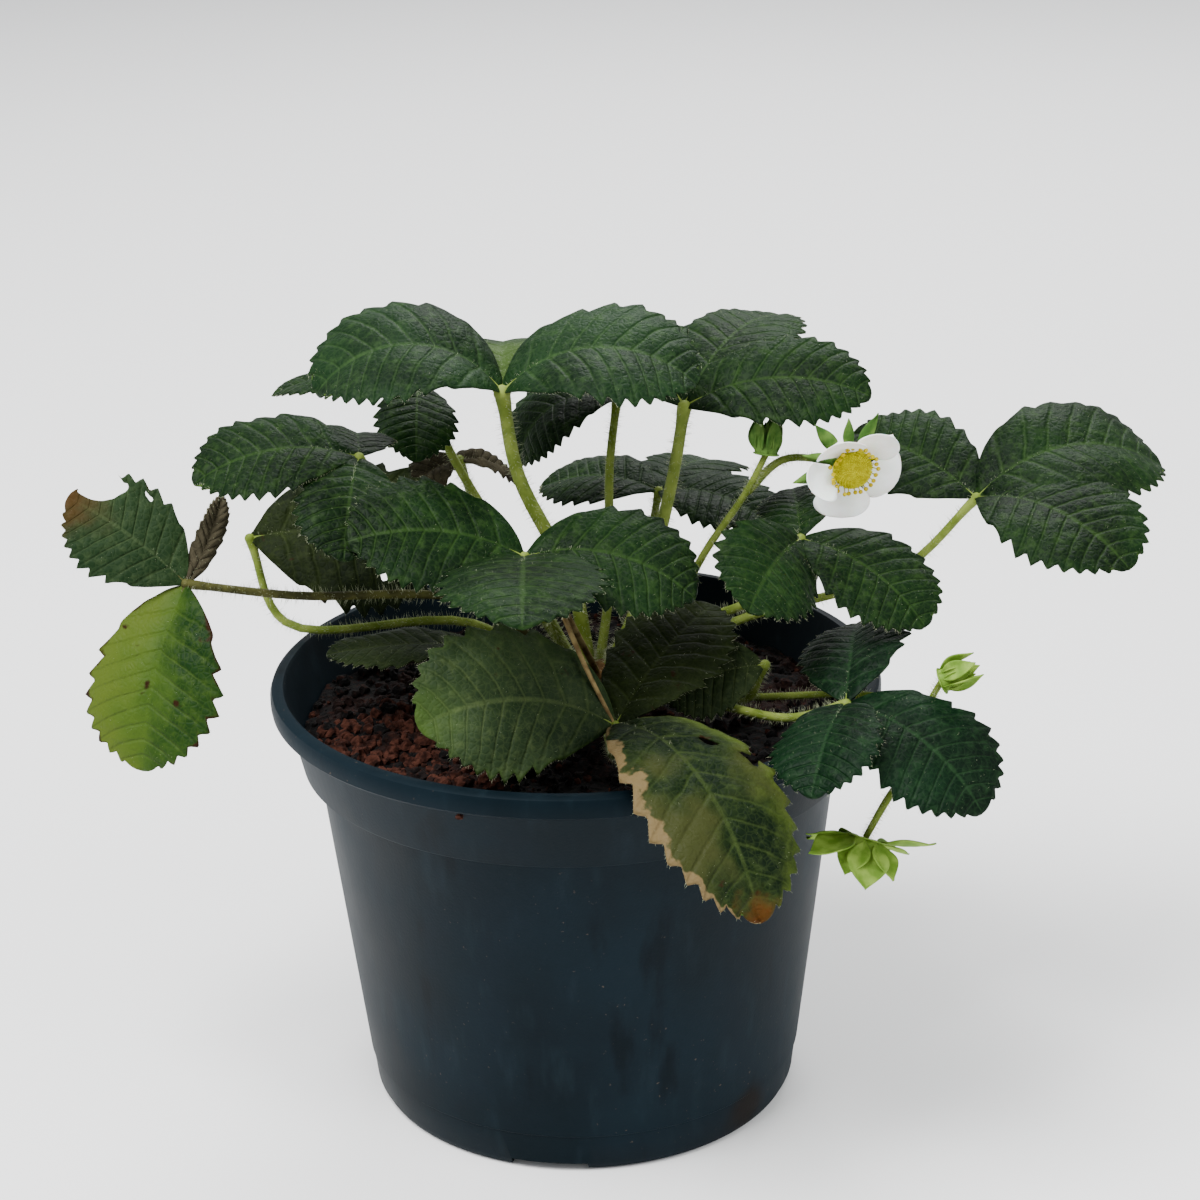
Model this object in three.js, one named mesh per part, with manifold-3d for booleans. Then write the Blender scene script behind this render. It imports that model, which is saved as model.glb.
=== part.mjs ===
// Potted strawberry plant: a nursery pot, its soil, and a plant of trifoliate leaves with a flower
// truss and a fruit truss. Millimetres, +Z up, origin at the middle of the pot's underside.
import * as THREE from 'three';
import { mergeVertices } from 'three/addons/utils/BufferGeometryUtils.js';
import Module from 'manifold-3d';

const wasm = await Module();
wasm.setup();

// ---- Driving dimensions ----
const GAP = 0.3; // clearance between pieces that touch

const RIM_R = 80; // outer radius of the lip
const POT_H = 117;
const LIP_H = 6;
const LIP_W = 4; // from the lip's outer edge to its inner edge
const LIP_ROUND = 1.5;
const BAND_BOTTOM = 95;
const BAND_R = 72.5;
const WALL_TOP_R = 68.5;
const FOOT_R = 57.5;
const FOOT_ROUND = 2;
const WALL = 1.8;
const FLOOR = 3;
const RECESS = 2.5; // the floor is raised this much inside the foot ring
const FOOT_RING = 7;
const BOSS_R = 16; // flat boss in the middle of the underside, level with the foot
const POT_SIDES = 32;
const NOTCH_W = 20;
const NOTCHES = 4;
const NOTCH_START = -100; // degrees, the notch nearest the front
const DRAIN_R = 4;
const DRAIN_RING = 34;
const DRAINS = 6;
const DRAIN_SIDES = 8;

const SOIL_TOP = 105;
const SOIL_RELIEF = 1.6;
const SOIL_RINGS = 5;
const SOIL_EDGE = 2; // the soil leaves the wall this far below its mean level
const CROWN = new THREE.Vector3(5, 5, SOIL_TOP + 1);
const CROWN_R = 11;
const CROWN_FOOT_R = 8;
const CROWN_DEPTH = 18;

const BLADE = 0.75; // leaf blade thickness
const LEAFLET = 48; // usual leaflet length
const WIDTH_TO_LENGTH = 0.8;
const SPREAD = 95; // side leaflets turn this far from the middle one
const TEETH = 5; // on each side of a leaflet
const TOOTH = 0.12; // tooth depth as a share of the half width
const TOOTH_LEAN = 0.7; // a tooth's tip stands this far along its own step
const RIB_LINE = 0.55; // where the blade bends between midrib and margin
const HUB_R = 2.2;
const STALK_R = 1.3;
const STALK_SIDES = 6;
const STALK_STEPS = 8;

const PETALS = 5;
const PETAL = 11;
const SEPAL = 9;
const SEPAL_W = 5;
const CALYX_R = 5; // the disc that joins the sepals
const BUD_R = 3.6;
const EYE_R = 7;
const EYE_H = 5;
const FRUIT_R = 3.6;
const FRUIT_H = 6.4;
const TRUSS_R = 1.1;

// Where each leaflet turns to from the middle one, its size, and how it rolls outward.
const SIDES = {
  left: { turn: SPREAD, size: 0.95, roll: -12 },
  middle: { turn: 0, size: 1, roll: 0 },
  right: { turn: -SPREAD, size: 0.95, roll: 12 },
};

// How a leaf's leaflets rise from the hub and droop to their tips, in degrees.
const HABITS = {
  arched: { rise: 60, droop: 105 },
  rising: { rise: 45, droop: 60 },
  spreading: { rise: 20, droop: 50 },
  hanging: { rise: 0, droop: 60 },
};

// Each leaf: the bearing its stalk takes from the crown (degrees, 0 is +X and 90 is +Y), how far
// out and how high its hub is, where its middle leaflet points, its habit, its leaflet size
// against the usual one, and how far from the crown's top its stalk starts (polar).
// A leaf may also set its stalk's radius, the pitch at which the stalk arrives, and what is
// different about its left, middle or right leaflet: null is a leaflet that has been lost.
// A positive roll lifts a leaflet's left side.
const LEAVES = [
  {
    name: 'crest', bearing: 210, reach: 25, height: 195, faces: 90, habit: 'arched', size: 1.2,
    polar: 10, stalk: 2, arrives: 80,
    left: { droop: 115, roll: -20 }, middle: { rise: 45, size: 0.8 },
    right: { rise: 50, droop: 95, roll: 20 },
  },

  {
    name: 'right_high', bearing: 10, reach: 25, height: 185, faces: 55, habit: 'rising', size: 1.1,
    polar: 25, stalk: 1.8, arrives: 80,
    left: { turn: 70, size: 0.85, roll: -10 }, middle: { slim: 0.8 },
    right: { turn: -65, rise: 35, droop: 60, roll: 30, slim: 0.8 },
  },

  {
    name: 'right_far', bearing: 0, reach: 100, height: 160, faces: 15, habit: 'rising', size: 1.1,
    polar: 60, arrives: 45,
    left: { turn: 120, rise: 30, droop: 35, roll: -25, size: 0.8 },
    middle: { droop: 85, roll: 20, size: 1.1, slim: 0.9 },
    right: { turn: -60, rise: 20, roll: 15 },
  },

  {
    name: 'front_mid', bearing: 245, reach: 40, height: 160, faces: -90, habit: 'spreading',
    size: 1, polar: 40,
    left: { turn: 80, droop: 65, roll: 25 }, middle: { droop: 35, size: 1.1 },
    right: { turn: -80, rise: 35, roll: -35 },
  },

  {
    name: 'left_high', bearing: 195, reach: 60, height: 180, faces: 190, habit: 'spreading',
    size: 0.9, polar: 30,
    left: { turn: 75, rise: -5, size: 0.8 }, middle: { rise: 25, droop: 60, roll: -20 },
    right: { size: 0.6 },
  },

  {
    name: 'left_back', bearing: 145, reach: 55, height: 185, faces: 175, habit: 'spreading',
    size: 0.85, polar: 35,
    left: { rise: -5, size: 0.7 }, middle: { slim: 0.7 }, right: { size: 0.7 },
  },

  {
    name: 'back_small', bearing: 75, reach: 30, height: 180, faces: 100, habit: 'arched',
    size: 0.65, polar: 35,
    left: { rise: 30, droop: 120, size: 1.2 },
  },

  {
    name: 'back_low', bearing: 65, reach: 45, height: 150, faces: 60, habit: 'spreading',
    size: 0.8, polar: 60,
  },

  {
    name: 'left_old', bearing: 165, reach: 95, height: 145, faces: 180, habit: 'spreading',
    size: 1.2, polar: 60, arrives: 70,
    left: null, middle: { turn: 170, rise: 15, droop: 40, roll: 45 }, right: null,
  },

  {
    name: 'left_low', bearing: 195, reach: 30, height: 125, faces: 185, habit: 'spreading',
    size: 0.85, polar: 80,
    left: null, middle: { rise: 10, droop: 20, slim: 0.8 }, right: null,
  },

  {
    name: 'left_trail', bearing: 185, reach: 105, height: 145, faces: 245, habit: 'hanging',
    size: 1.05, polar: 45, arrives: 10,
    left: { turn: 165, rise: 40, droop: -30, size: 0.5, slim: 0.4, roll: 60 },
    middle: { rise: -35, droop: 45 },
    right: { turn: -80, rise: 45, droop: 20, roll: -45, size: 0.75 },
  },

  {
    name: 'front_low', bearing: -85, reach: 50, height: 120, faces: -60, habit: 'hanging',
    size: 1.15, polar: 75,
    left: { turn: 115, rise: 35, droop: 30, roll: 10, size: 0.9, slim: 0.8 },
    middle: { rise: 25, droop: 95, size: 1.4, slim: 0.65 },
    right: { turn: -105, rise: 40, droop: 65, roll: -50 },
  },

  {
    name: 'middle_low', bearing: -30, reach: 50, height: 125, faces: 195, habit: 'spreading',
    size: 0.6, polar: 50,
    left: null, middle: { rise: 5, droop: 30, roll: -50 }, right: null,
  },

  {
    name: 'right_low', bearing: -40, reach: 80, height: 125, faces: -40, habit: 'spreading',
    size: 0.95, polar: 75, arrives: 25,
    left: { turn: 120, rise: 35, roll: -20, size: 0.85 }, middle: { rise: 5, droop: 60, roll: 15 },
    right: { turn: -70, rise: 15, droop: 65, size: 0.8 },
  },

  {
    name: 'flower_side', bearing: -15, reach: 55, height: 155, faces: -35, habit: 'spreading',
    size: 0.95, polar: 45,
    left: { turn: 125, rise: 35, size: 0.6 }, middle: { rise: 0, roll: 15, size: 0.9 },
    right: { turn: -80, rise: 10, droop: 40, roll: -40, size: 0.85 },
  },

  {
    name: 'withered', bearing: 130, reach: 55, height: 160, faces: 110, habit: 'hanging',
    size: 0.45, polar: 50,
  },
];

// A truss is a stem that leaves the crown and runs through its points to a bud, with a branch from
// its fork to the calyx of an open or spent flower.
const FLOWER_TRUSS = {
  leaves: { heading: 30, polar: 45 },
  stem: [[25, 5, 130], [35, 0, 150]],
  fork: [45, 0, 165],
  branch: [[55, 10, 170]],
  bud: [50, 0, 175],
  budFacing: { heading: 60, pitch: 75 },
  calyx: [70, -10, 175],
  facing: { heading: -75, pitch: -10 },
};
const FRUIT_TRUSS = {
  leaves: { heading: -10, polar: 70 },
  stem: [[40, -5, 110], [75, -30, 120]],
  fork: [85, -40, 120],
  branch: [[85, -50, 115], [75, -60, 105]],
  bud: [90, -45, 130],
  budFacing: { heading: -10, pitch: 25 },
  calyx: [70, -60, 95],
  facing: { heading: 230, pitch: -60 },
};

// ---- Colours and roughness ----
const COLOURS = {
  pot: [0x1e2d34, 0.45],
  soil: [0x4a2c1c, 0.95],
  crown: [0x6b4a2c, 0.9],
  leaf: [0x2f5a24, 0.55],
  oldLeaf: [0x8c9a35, 0.6],
  deadLeaf: [0x7a6b58, 0.9],
  stalk: [0x86a84a, 0.6],
  petal: [0xf6f5ee, 0.5],
  eye: [0xd9b92c, 0.8],
  fruit: [0xa88a3a, 0.8],
};
const LEAF_COLOURS = { left_trail: 'oldLeaf', left_old: 'oldLeaf', withered: 'deadLeaf' };

const plant = new THREE.Group();

// ---- Helpers ----
const rad = THREE.MathUtils.degToRad;
const vector = (place) => new THREE.Vector3(...place);
const toward = (heading, pitch) => new THREE.Vector3(
  Math.cos(rad(pitch)) * Math.cos(rad(heading)),
  Math.cos(rad(pitch)) * Math.sin(rad(heading)),
  Math.sin(rad(pitch)),
);
const beyond = (place, direction, distance) => place.clone().addScaledVector(direction, distance);
const crownPoint = (heading, polar) => beyond(CROWN, toward(heading, 90 - polar), CROWN_R + GAP);

function solid(geometry) {
  geometry.deleteAttribute('normal');
  geometry.deleteAttribute('uv');
  const merged = mergeVertices(geometry, 1e-4);
  return new wasm.Manifold(new wasm.Mesh({
    numProp: 3,
    vertProperties: new Float32Array(merged.attributes.position.array),
    triVerts: new Uint32Array(merged.index.array),
  }));
}

function fuse(solids) {
  return solids.reduce((whole, next) => whole.add(next));
}

function addPiece(name, body, colour) {
  const mesh = body.getMesh();
  const geometry = new THREE.BufferGeometry();
  geometry.setAttribute('position', new THREE.BufferAttribute(mesh.vertProperties, 3));
  geometry.setIndex(new THREE.BufferAttribute(mesh.triVerts, 1));
  geometry.computeVertexNormals();
  const [color, roughness] = COLOURS[colour];
  const piece = new THREE.Mesh(
    geometry,
    new THREE.MeshStandardMaterial({ color, roughness, metalness: 0 }),
  );
  piece.name = name;
  plant.add(piece);
}

function circle(radius, sides) {
  const corners = Array.from({ length: sides }, (_, i) => {
    const turn = (2 * Math.PI * i) / sides;
    return new THREE.Vector2(radius * Math.cos(turn), radius * Math.sin(turn));
  });
  return new THREE.Shape(corners);
}

function tube(points, radius, steps) {
  const extrudePath = new THREE.CatmullRomCurve3(points);
  const section = circle(radius, STALK_SIDES);
  return solid(new THREE.ExtrudeGeometry(section, { steps, extrudePath, bevelEnabled: false }));
}

// A turned solid: its [radius, height] profile is spun about +Z.
function turned(profile, sides) {
  const points = profile.map(([r, z]) => new THREE.Vector2(r, z));
  return solid(new THREE.LatheGeometry(points, sides).rotateX(Math.PI / 2));
}

// The profile of a dome, from its widest ring to its top.
function dome(radius, height, steps) {
  return Array.from({ length: steps + 1 }, (_, i) => {
    const climb = (Math.PI / 2) * (i / steps);
    return [i < steps ? radius * Math.cos(climb) : 0, height * Math.sin(climb)];
  });
}

// ---- Blades: leaflets, petals and sepals ----
// The width grows from a wedge at the base, and closes in a round tip.
const WEDGE = 0.9;
const ROUND = 0.6;
const WIDEST = WEDGE / (WEDGE + ROUND);
const widthCurve = (s) => s ** WEDGE * (1 - s) ** ROUND;

// The middle surface of a blade at s along the midrib (0 to 1) and w across it (-1 to 1).
// The midrib is an arc that starts at the rise and droops to the tip.
function bladePoint(blade, s, w) {
  const { base, heading, rise, droop, long, wide, roll, fold, cup, foot } = blade;
  const pitch = rise - droop * s;
  const arcRadius = long / rad(droop);
  const place = beyond(base, toward(heading, 0), arcRadius * (Math.sin(rad(rise)) - Math.sin(rad(pitch))));
  place.z += arcRadius * (Math.cos(rad(pitch)) - Math.cos(rad(rise)));
  const ahead = toward(heading, pitch);
  const left = toward(heading + 90, 0).applyAxisAngle(ahead, rad(roll));
  const up = ahead.clone().cross(left);
  const half = Math.max((wide / 2) * (widthCurve(s) / widthCurve(WIDEST)), foot);
  const across = w * half;
  const lift = Math.abs(across) * Math.tan(rad(fold)) - cup * across ** 2 / (wide / 2);
  return place.addScaledVector(left, across).addScaledVector(up, lift);
}

// A blade's solid. Each step along a margin has a notch and a tooth that leans toward the tip.
function bladeSolid(settings) {
  const blade = {
    roll: 0, fold: 10, cup: 0.25, foot: 1.1, teeth: TOOTH, rows: TEETH, ...settings,
  };
  const { rows, teeth } = blade;
  const points = [];
  const put = (s, w) => points.push(bladePoint(blade, s, w)) - 1;
  const spine = Array.from({ length: rows + 1 }, (_, k) => put(k / rows, 0));
  const faces = [];
  const margins = [-1, 1].map((side) => {
    const face = (a, b, c) => {
      if (a !== b && b !== c && c !== a) faces.push(side > 0 ? [a, c, b] : [a, b, c]);
    };
    const along = (w) => spine.map((end, k) => (k < rows ? put(k / rows, side * w) : end));
    const ribs = along(RIB_LINE);
    const notches = along(1 - teeth);
    const tips = ribs.slice(1).map((_, k) => put((k + TOOTH_LEAN) / rows, side));
    for (let k = 0; k < rows; k += 1) {
      face(spine[k], ribs[k], ribs[k + 1]);
      face(spine[k], ribs[k + 1], spine[k + 1]);
      face(ribs[k], notches[k], tips[k]);
      face(ribs[k], tips[k], ribs[k + 1]);
      face(ribs[k + 1], tips[k], notches[k + 1]);
    }
    return [ribs[0], ...tips.flatMap((point, k) => [notches[k], point])];
  });
  return thicken(points, faces, [
    ...margins[0], spine[rows], ...margins[1].reverse(), spine[0],
  ]);
}

// Gives a sheet its thickness: the same triangles on both faces and a wall around the border.
function thicken(points, faces, border) {
  const normals = points.map(() => new THREE.Vector3());
  faces.forEach((face) => {
    const [a, b, c] = face.map((i) => points[i]);
    const normal = b.clone().sub(a).cross(c.clone().sub(a));
    face.forEach((i) => normals[i].add(normal));
  });
  const count = points.length;
  const sheet = (side) => points.map((p, i) => (
    beyond(p, normals[i].clone().normalize(), (side * BLADE) / 2)
  ));
  const index = faces.flatMap(([a, b, c]) => [a, b, c, c + count, b + count, a + count]);
  border.forEach((a, i) => {
    const b = border[(i + 1) % border.length];
    index.push(a, a + count, b, b, a + count, b + count);
  });
  const geometry = new THREE.BufferGeometry();
  const places = [...sheet(1), ...sheet(-1)].flatMap((p) => p.toArray());
  geometry.setAttribute('position', new THREE.Float32BufferAttribute(places, 3));
  geometry.setIndex(index);
  return solid(geometry);
}

// ---- Pot, soil and crown ----
function addPot() {
  const profile = [
    [0, 0], [BOSS_R, 0], [BOSS_R, RECESS], [FOOT_R - FOOT_RING, RECESS], [FOOT_R - FOOT_RING, 0],
    [FOOT_R - FOOT_ROUND, 0], [FOOT_R, FOOT_ROUND], [WALL_TOP_R, BAND_BOTTOM],
    [BAND_R, BAND_BOTTOM], [RIM_R - LIP_W, POT_H - LIP_H], [RIM_R - LIP_ROUND, POT_H - LIP_H],
    [RIM_R, POT_H - LIP_H + LIP_ROUND], [RIM_R, POT_H - LIP_ROUND], [RIM_R - LIP_ROUND, POT_H],
    [RIM_R - LIP_W, POT_H], [BAND_R - WALL, BAND_BOTTOM + WALL],
    [WALL_TOP_R - WALL, BAND_BOTTOM - WALL], [FOOT_R - WALL, RECESS + FLOOR], [0, RECESS + FLOOR],
    [0, 0],
  ];
  let pot = turned(profile, POT_SIDES);
  for (let i = 0; i < NOTCHES; i += 1) {
    const notch = new THREE.BoxGeometry(3 * FOOT_RING, NOTCH_W, 2 * RECESS);
    notch.translate(FOOT_R - FOOT_RING / 2, 0, 0);
    notch.rotateZ(rad(NOTCH_START + (360 * i) / NOTCHES));
    pot = pot.subtract(solid(notch));
  }
  for (let i = 0; i < DRAINS; i += 1) {
    const drain = new THREE.CylinderGeometry(DRAIN_R, DRAIN_R, 4 * FLOOR, DRAIN_SIDES);
    drain.rotateX(Math.PI / 2).translate(DRAIN_RING, 0, FLOOR).rotateZ((2 * Math.PI * i) / DRAINS);
    pot = pot.subtract(solid(drain));
  }
  addPiece('pot', pot, 'pot');
}

// Height of the soil's uneven surface above its mean level: two crossed sets of waves.
const soilRelief = (x, y) => SOIL_RELIEF * (
  Math.sin(x / 9 + 1) * Math.cos(y / 11) + 0.6 * Math.sin((x + y) / 5) * Math.cos(x / 7)
);

function addSoil() {
  const bottom = RECESS + FLOOR + GAP;
  const edge = SOIL_TOP - SOIL_EDGE;
  const climb = (edge - BAND_BOTTOM - WALL) / (POT_H - BAND_BOTTOM - WALL);
  const bandR = BAND_R - WALL - 2 * GAP;
  const topR = bandR + climb * (RIM_R - LIP_W - BAND_R + WALL);
  const profile = [
    [0, bottom], [FOOT_R - WALL - 2 * GAP, bottom],
    [WALL_TOP_R - WALL - 2 * GAP, BAND_BOTTOM - WALL], [bandR, BAND_BOTTOM + WALL + GAP],
    [topR, edge],
  ];
  for (let i = SOIL_RINGS - 1; i >= 0; i -= 1) profile.push([(topR * i) / SOIL_RINGS, SOIL_TOP]);
  const points = profile.map(([r, z]) => new THREE.Vector2(r, z));
  const geometry = new THREE.LatheGeometry(points, POT_SIDES).rotateX(Math.PI / 2);
  const places = geometry.attributes.position;
  for (let i = 0; i < places.count; i += 1) {
    const [x, y, z] = [places.getX(i), places.getY(i), places.getZ(i)];
    if (z > SOIL_TOP - 1) places.setZ(i, z + soilRelief(x, y));
  }
  const hollowR = CROWN_R + GAP;
  const hollow = turned([
    [0, SOIL_TOP - CROWN_DEPTH - GAP], [hollowR, SOIL_TOP - CROWN_DEPTH - GAP],
    [hollowR, POT_H], [0, POT_H],
  ], POT_SIDES / 2).translate([CROWN.x, CROWN.y, 0]);
  addPiece('soil', solid(geometry).subtract(hollow), 'soil');
}

function addCrown() {
  const profile = [
    [0, -CROWN_DEPTH], [CROWN_FOOT_R, -CROWN_DEPTH], ...dome(CROWN_R, CROWN_R, 5),
  ];
  addPiece('crown', turned(profile, POT_SIDES / 2).translate(CROWN.toArray()), 'crown');
}

// ---- Leaves ----
// A stalk leaves the crown square to its surface, and arrives under the hub at a pitch of its own.
function addStalk({ name, bearing, polar, stalk = STALK_R, arrives = 60 }, hub, knobR) {
  const out = toward(bearing, 90 - polar);
  const arrival = toward(bearing, arrives);
  const start = crownPoint(bearing, polar);
  const end = beyond(hub, arrival, -(knobR + GAP));
  const reach = start.distanceTo(end);
  const route = [start, beyond(start, out, 0.3 * reach), beyond(end, arrival, -0.25 * reach), end];
  addPiece(`${name}_stalk`, tube(route, stalk, STALK_STEPS), 'stalk');
}

function addLeaf(leaf) {
  const { name, bearing, reach, height, faces, habit, size, stalk = STALK_R } = leaf;
  const hub = beyond(CROWN, toward(bearing, 0), reach).setZ(height);
  const knobR = HUB_R + stalk - STALK_R;
  const knob = solid(new THREE.IcosahedronGeometry(knobR, 0)).translate(hub.toArray());
  const leaflets = Object.entries(SIDES)
    .filter(([side]) => leaf[side] !== null)
    .map(([side, usual]) => {
      const own = { ...usual, ...HABITS[habit], slim: 1, ...leaf[side] };
      const long = LEAFLET * size * own.size;
      const wide = long * WIDTH_TO_LENGTH * own.slim;
      return bladeSolid({ ...own, base: hub, heading: faces + own.turn, long, wide });
    });
  addPiece(`${name}_leaf`, fuse([knob, ...leaflets]), LEAF_COLOURS[name] ?? 'leaf');
  addStalk(leaf, hub, knobR);
}

// ---- Flower and fruit ----
// Turns a solid that was made facing +Z to face a direction, at a place.
function aim(body, facing, place) {
  const turn = new THREE.Quaternion().setFromUnitVectors(new THREE.Vector3(0, 0, 1), facing);
  const placing = new THREE.Matrix4().makeRotationFromQuaternion(turn).setPosition(place);
  return body.transform(placing.elements);
}

// Blades set around an axis, on a small disc that joins them.
function rosette(discR, settings) {
  const blades = Array.from({ length: PETALS }, (_, i) => {
    const heading = (360 * i) / PETALS;
    const base = toward(heading, 0).multiplyScalar(discR - 1);
    return bladeSolid({ base, heading, teeth: 0, rows: 2, fold: 0, ...settings });
  });
  const disc = new THREE.CylinderGeometry(discR, discR, BLADE, 10).rotateX(Math.PI / 2);
  return fuse([solid(disc), ...blades]);
}

const sepals = (size, rise) => rosette(CALYX_R, {
  long: SEPAL * size, wide: SEPAL_W * size, rise, droop: 20, foot: 1,
});

const bud = () => fuse([
  sepals(0.8, 75), solid(new THREE.IcosahedronGeometry(BUD_R, 1)).translate([0, 0, BUD_R - 1]),
]);

function addTruss(name, truss, calyxSize, calyxRise) {
  const { leaves, stem, fork, branch, bud: budAt, budFacing, calyx } = truss;
  const facing = toward(truss.facing.heading, truss.facing.pitch);
  const start = crownPoint(leaves.heading, leaves.polar);
  const neck = beyond(vector(calyx), facing, -GAP);
  addPiece(name, fuse([
    tube([start, ...[...stem, fork, budAt].map(vector)], TRUSS_R, 10),
    tube([...[fork, ...branch].map(vector), neck], TRUSS_R, 5),
    aim(sepals(calyxSize, calyxRise), facing, vector(calyx)),
    aim(bud(), toward(budFacing.heading, budFacing.pitch), vector(budAt)),
  ]), 'stalk');
}

// What stands on a calyx faces the same way, a given distance in front of it.
function addBloom(name, body, truss, distance, colour) {
  const facing = toward(truss.facing.heading, truss.facing.pitch);
  addPiece(name, aim(body, facing, beyond(vector(truss.calyx), facing, distance)), colour);
}

const petals = rosette(4.5, {
  long: PETAL, wide: PETAL, rise: 4, droop: -25, cup: -0.1, foot: 1.5, rows: 3,
});
const eye = turned([[0, 0], ...dome(EYE_R, EYE_H, 4)], 14);
const youngFruit = turned([[0, 0], ...dome(FRUIT_R, FRUIT_H, 4)], 12);

addPot();
addSoil();
addCrown();
LEAVES.forEach(addLeaf);
addTruss('flower_truss', FLOWER_TRUSS, 1.2, 0);
addBloom('petals', petals, FLOWER_TRUSS, BLADE + GAP, 'petal');
addBloom('eye', eye, FLOWER_TRUSS, 2 * (BLADE + GAP), 'eye');
addTruss('fruit_truss', FRUIT_TRUSS, 1.6, 30);
addBloom('young_fruit', youngFruit, FRUIT_TRUSS, BLADE / 2 + GAP, 'fruit');

export default plant;
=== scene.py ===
# %% [markdown]
# # A potted strawberry plant
# The frame holds the measured model: pot, soil, crown, stalks, leaves, flower and fruit.
# This lesson dresses it. Each rough solid is replaced with a finer piece of the same form,
# so we first load the frame.

import math
import random

import bmesh
import bpy
from mathutils import Matrix, Quaternion, Vector, noise


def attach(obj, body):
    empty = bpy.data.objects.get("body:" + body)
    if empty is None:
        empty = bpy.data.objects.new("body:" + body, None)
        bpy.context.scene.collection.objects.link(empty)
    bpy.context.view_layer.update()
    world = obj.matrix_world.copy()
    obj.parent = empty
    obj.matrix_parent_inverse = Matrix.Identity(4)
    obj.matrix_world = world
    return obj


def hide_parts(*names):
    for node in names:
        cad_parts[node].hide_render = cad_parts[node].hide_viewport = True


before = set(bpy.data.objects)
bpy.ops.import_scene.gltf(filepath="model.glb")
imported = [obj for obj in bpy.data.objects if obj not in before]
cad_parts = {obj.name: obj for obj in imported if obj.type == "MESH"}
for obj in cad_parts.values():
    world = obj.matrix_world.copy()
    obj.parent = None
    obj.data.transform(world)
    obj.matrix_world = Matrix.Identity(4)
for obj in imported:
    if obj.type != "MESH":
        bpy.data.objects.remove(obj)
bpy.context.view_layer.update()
MM = 0.001
GAP = 0.3  # clearance between pieces that touch
print("nodes in the frame:", len(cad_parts))

# %% [markdown]
# ## Camera
# A plant is best seen a little from above, from far enough that near leaves don't swell.
# A camera could be aimed with a constraint, but here its three axes are worked out from its
# pitch, yaw and roll, so that each can be set on its own and the pot stays upright.

# %% Camera
CAMERA_PLACE = Vector((0, -650, 387)) * MM
CAMERA_PITCH = math.radians(21.1)
CAMERA_YAW = math.radians(0.6)
CAMERA_ROLL = math.radians(-1.2)
CAMERA_LENS = 80.3


def add_object(name, data):
    piece = bpy.data.objects.new(name, data)
    bpy.context.scene.collection.objects.link(piece)
    return piece


def make_camera():
    ahead = Vector((
        math.sin(CAMERA_YAW) * math.cos(CAMERA_PITCH),
        math.cos(CAMERA_YAW) * math.cos(CAMERA_PITCH),
        -math.sin(CAMERA_PITCH),
    ))
    right = ahead.cross(Vector((0, 0, 1))).normalized()
    right = Quaternion(ahead, -CAMERA_ROLL) @ right
    up = right.cross(ahead)
    data = bpy.data.cameras.new("camera")
    data.lens = CAMERA_LENS
    data.sensor_width = 36
    camera = add_object("camera", data)
    turn = Matrix((right, up, -ahead)).transposed().to_4x4()
    camera.matrix_world = Matrix.Translation(CAMERA_PLACE) @ turn
    bpy.context.scene.camera = camera


make_camera()
print("camera stands", round(CAMERA_PLACE.length, 3), "m from the origin")

# %% [markdown]
# ## Floor
# The plant stands on a plain pale floor, which isn't part of it. One large flat sheet is
# enough: it catches the soft shadow that shows where the pot touches the ground.


# %% Floor
def to_object(name, shape):
    """Closes a bmesh and makes it an object."""
    mesh = bpy.data.meshes.new(name)
    shape.to_mesh(mesh)
    shape.free()
    return add_object(name, mesh)


def make_floor():
    shape = bmesh.new()
    bmesh.ops.create_grid(shape, x_segments=1, y_segments=1, size=4)
    floor = to_object("floor", shape)
    pale = bpy.data.materials.new("pale_floor")
    pale.use_nodes = True
    shader = pale.node_tree.nodes["Principled BSDF"]
    shader.inputs["Base Color"].default_value = (0.9, 0.9, 0.9, 1)
    shader.inputs["Roughness"].default_value = 0.9
    floor.data.materials.append(pale)


make_floor()
print("floor laid")

# %% [markdown]
# ## Light
# Leaves look flat under one hard lamp and dull under none. A broad lamp high on the left copies
# an overcast sky, weaker ones on the right and behind lift the edges, and a pale world fills
# the shade between the leaves.


# %% Lamps and sky
def make_lamp(name, place, size, watts):
    data = bpy.data.lights.new(name, "AREA")
    data.size = size
    data.energy = watts
    lamp = add_object(name, data)
    lamp.location = place
    lamp.rotation_euler = (-Vector(place)).to_track_quat("-Z", "Y").to_euler()


def make_sky(strength):
    world = bpy.data.worlds.new("sky")
    world.use_nodes = True
    background = world.node_tree.nodes["Background"]
    background.inputs["Color"].default_value = (0.96, 0.98, 1, 1)
    background.inputs["Strength"].default_value = strength
    bpy.context.scene.world = world


make_lamp("key", (-0.6, -0.5, 1.6), 0.9, 60)
make_lamp("fill", (1.3, -0.8, 1.2), 0.9, 16)
make_lamp("back", (0.3, 1.3, 1.4), 1.0, 26)
make_sky(0.8)
print("three lamps and a sky")

# %% [markdown]
# ## How a material is put together
# Every finish here is procedural: small noise, veins and spots are worked out by nodes from
# the surface itself. An image could be wrapped on instead, but noise stays sharp at any size
# and never repeats. These helpers add a node, wire it and mix colours, so that each finish
# below reads as a recipe.


# %% Material helpers
def srgb(red, green, blue):
    """A colour given from 0 to 255, as the shader wants it."""
    return tuple((c / 255) ** 2.2 for c in (red, green, blue)) + (1,)


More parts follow.
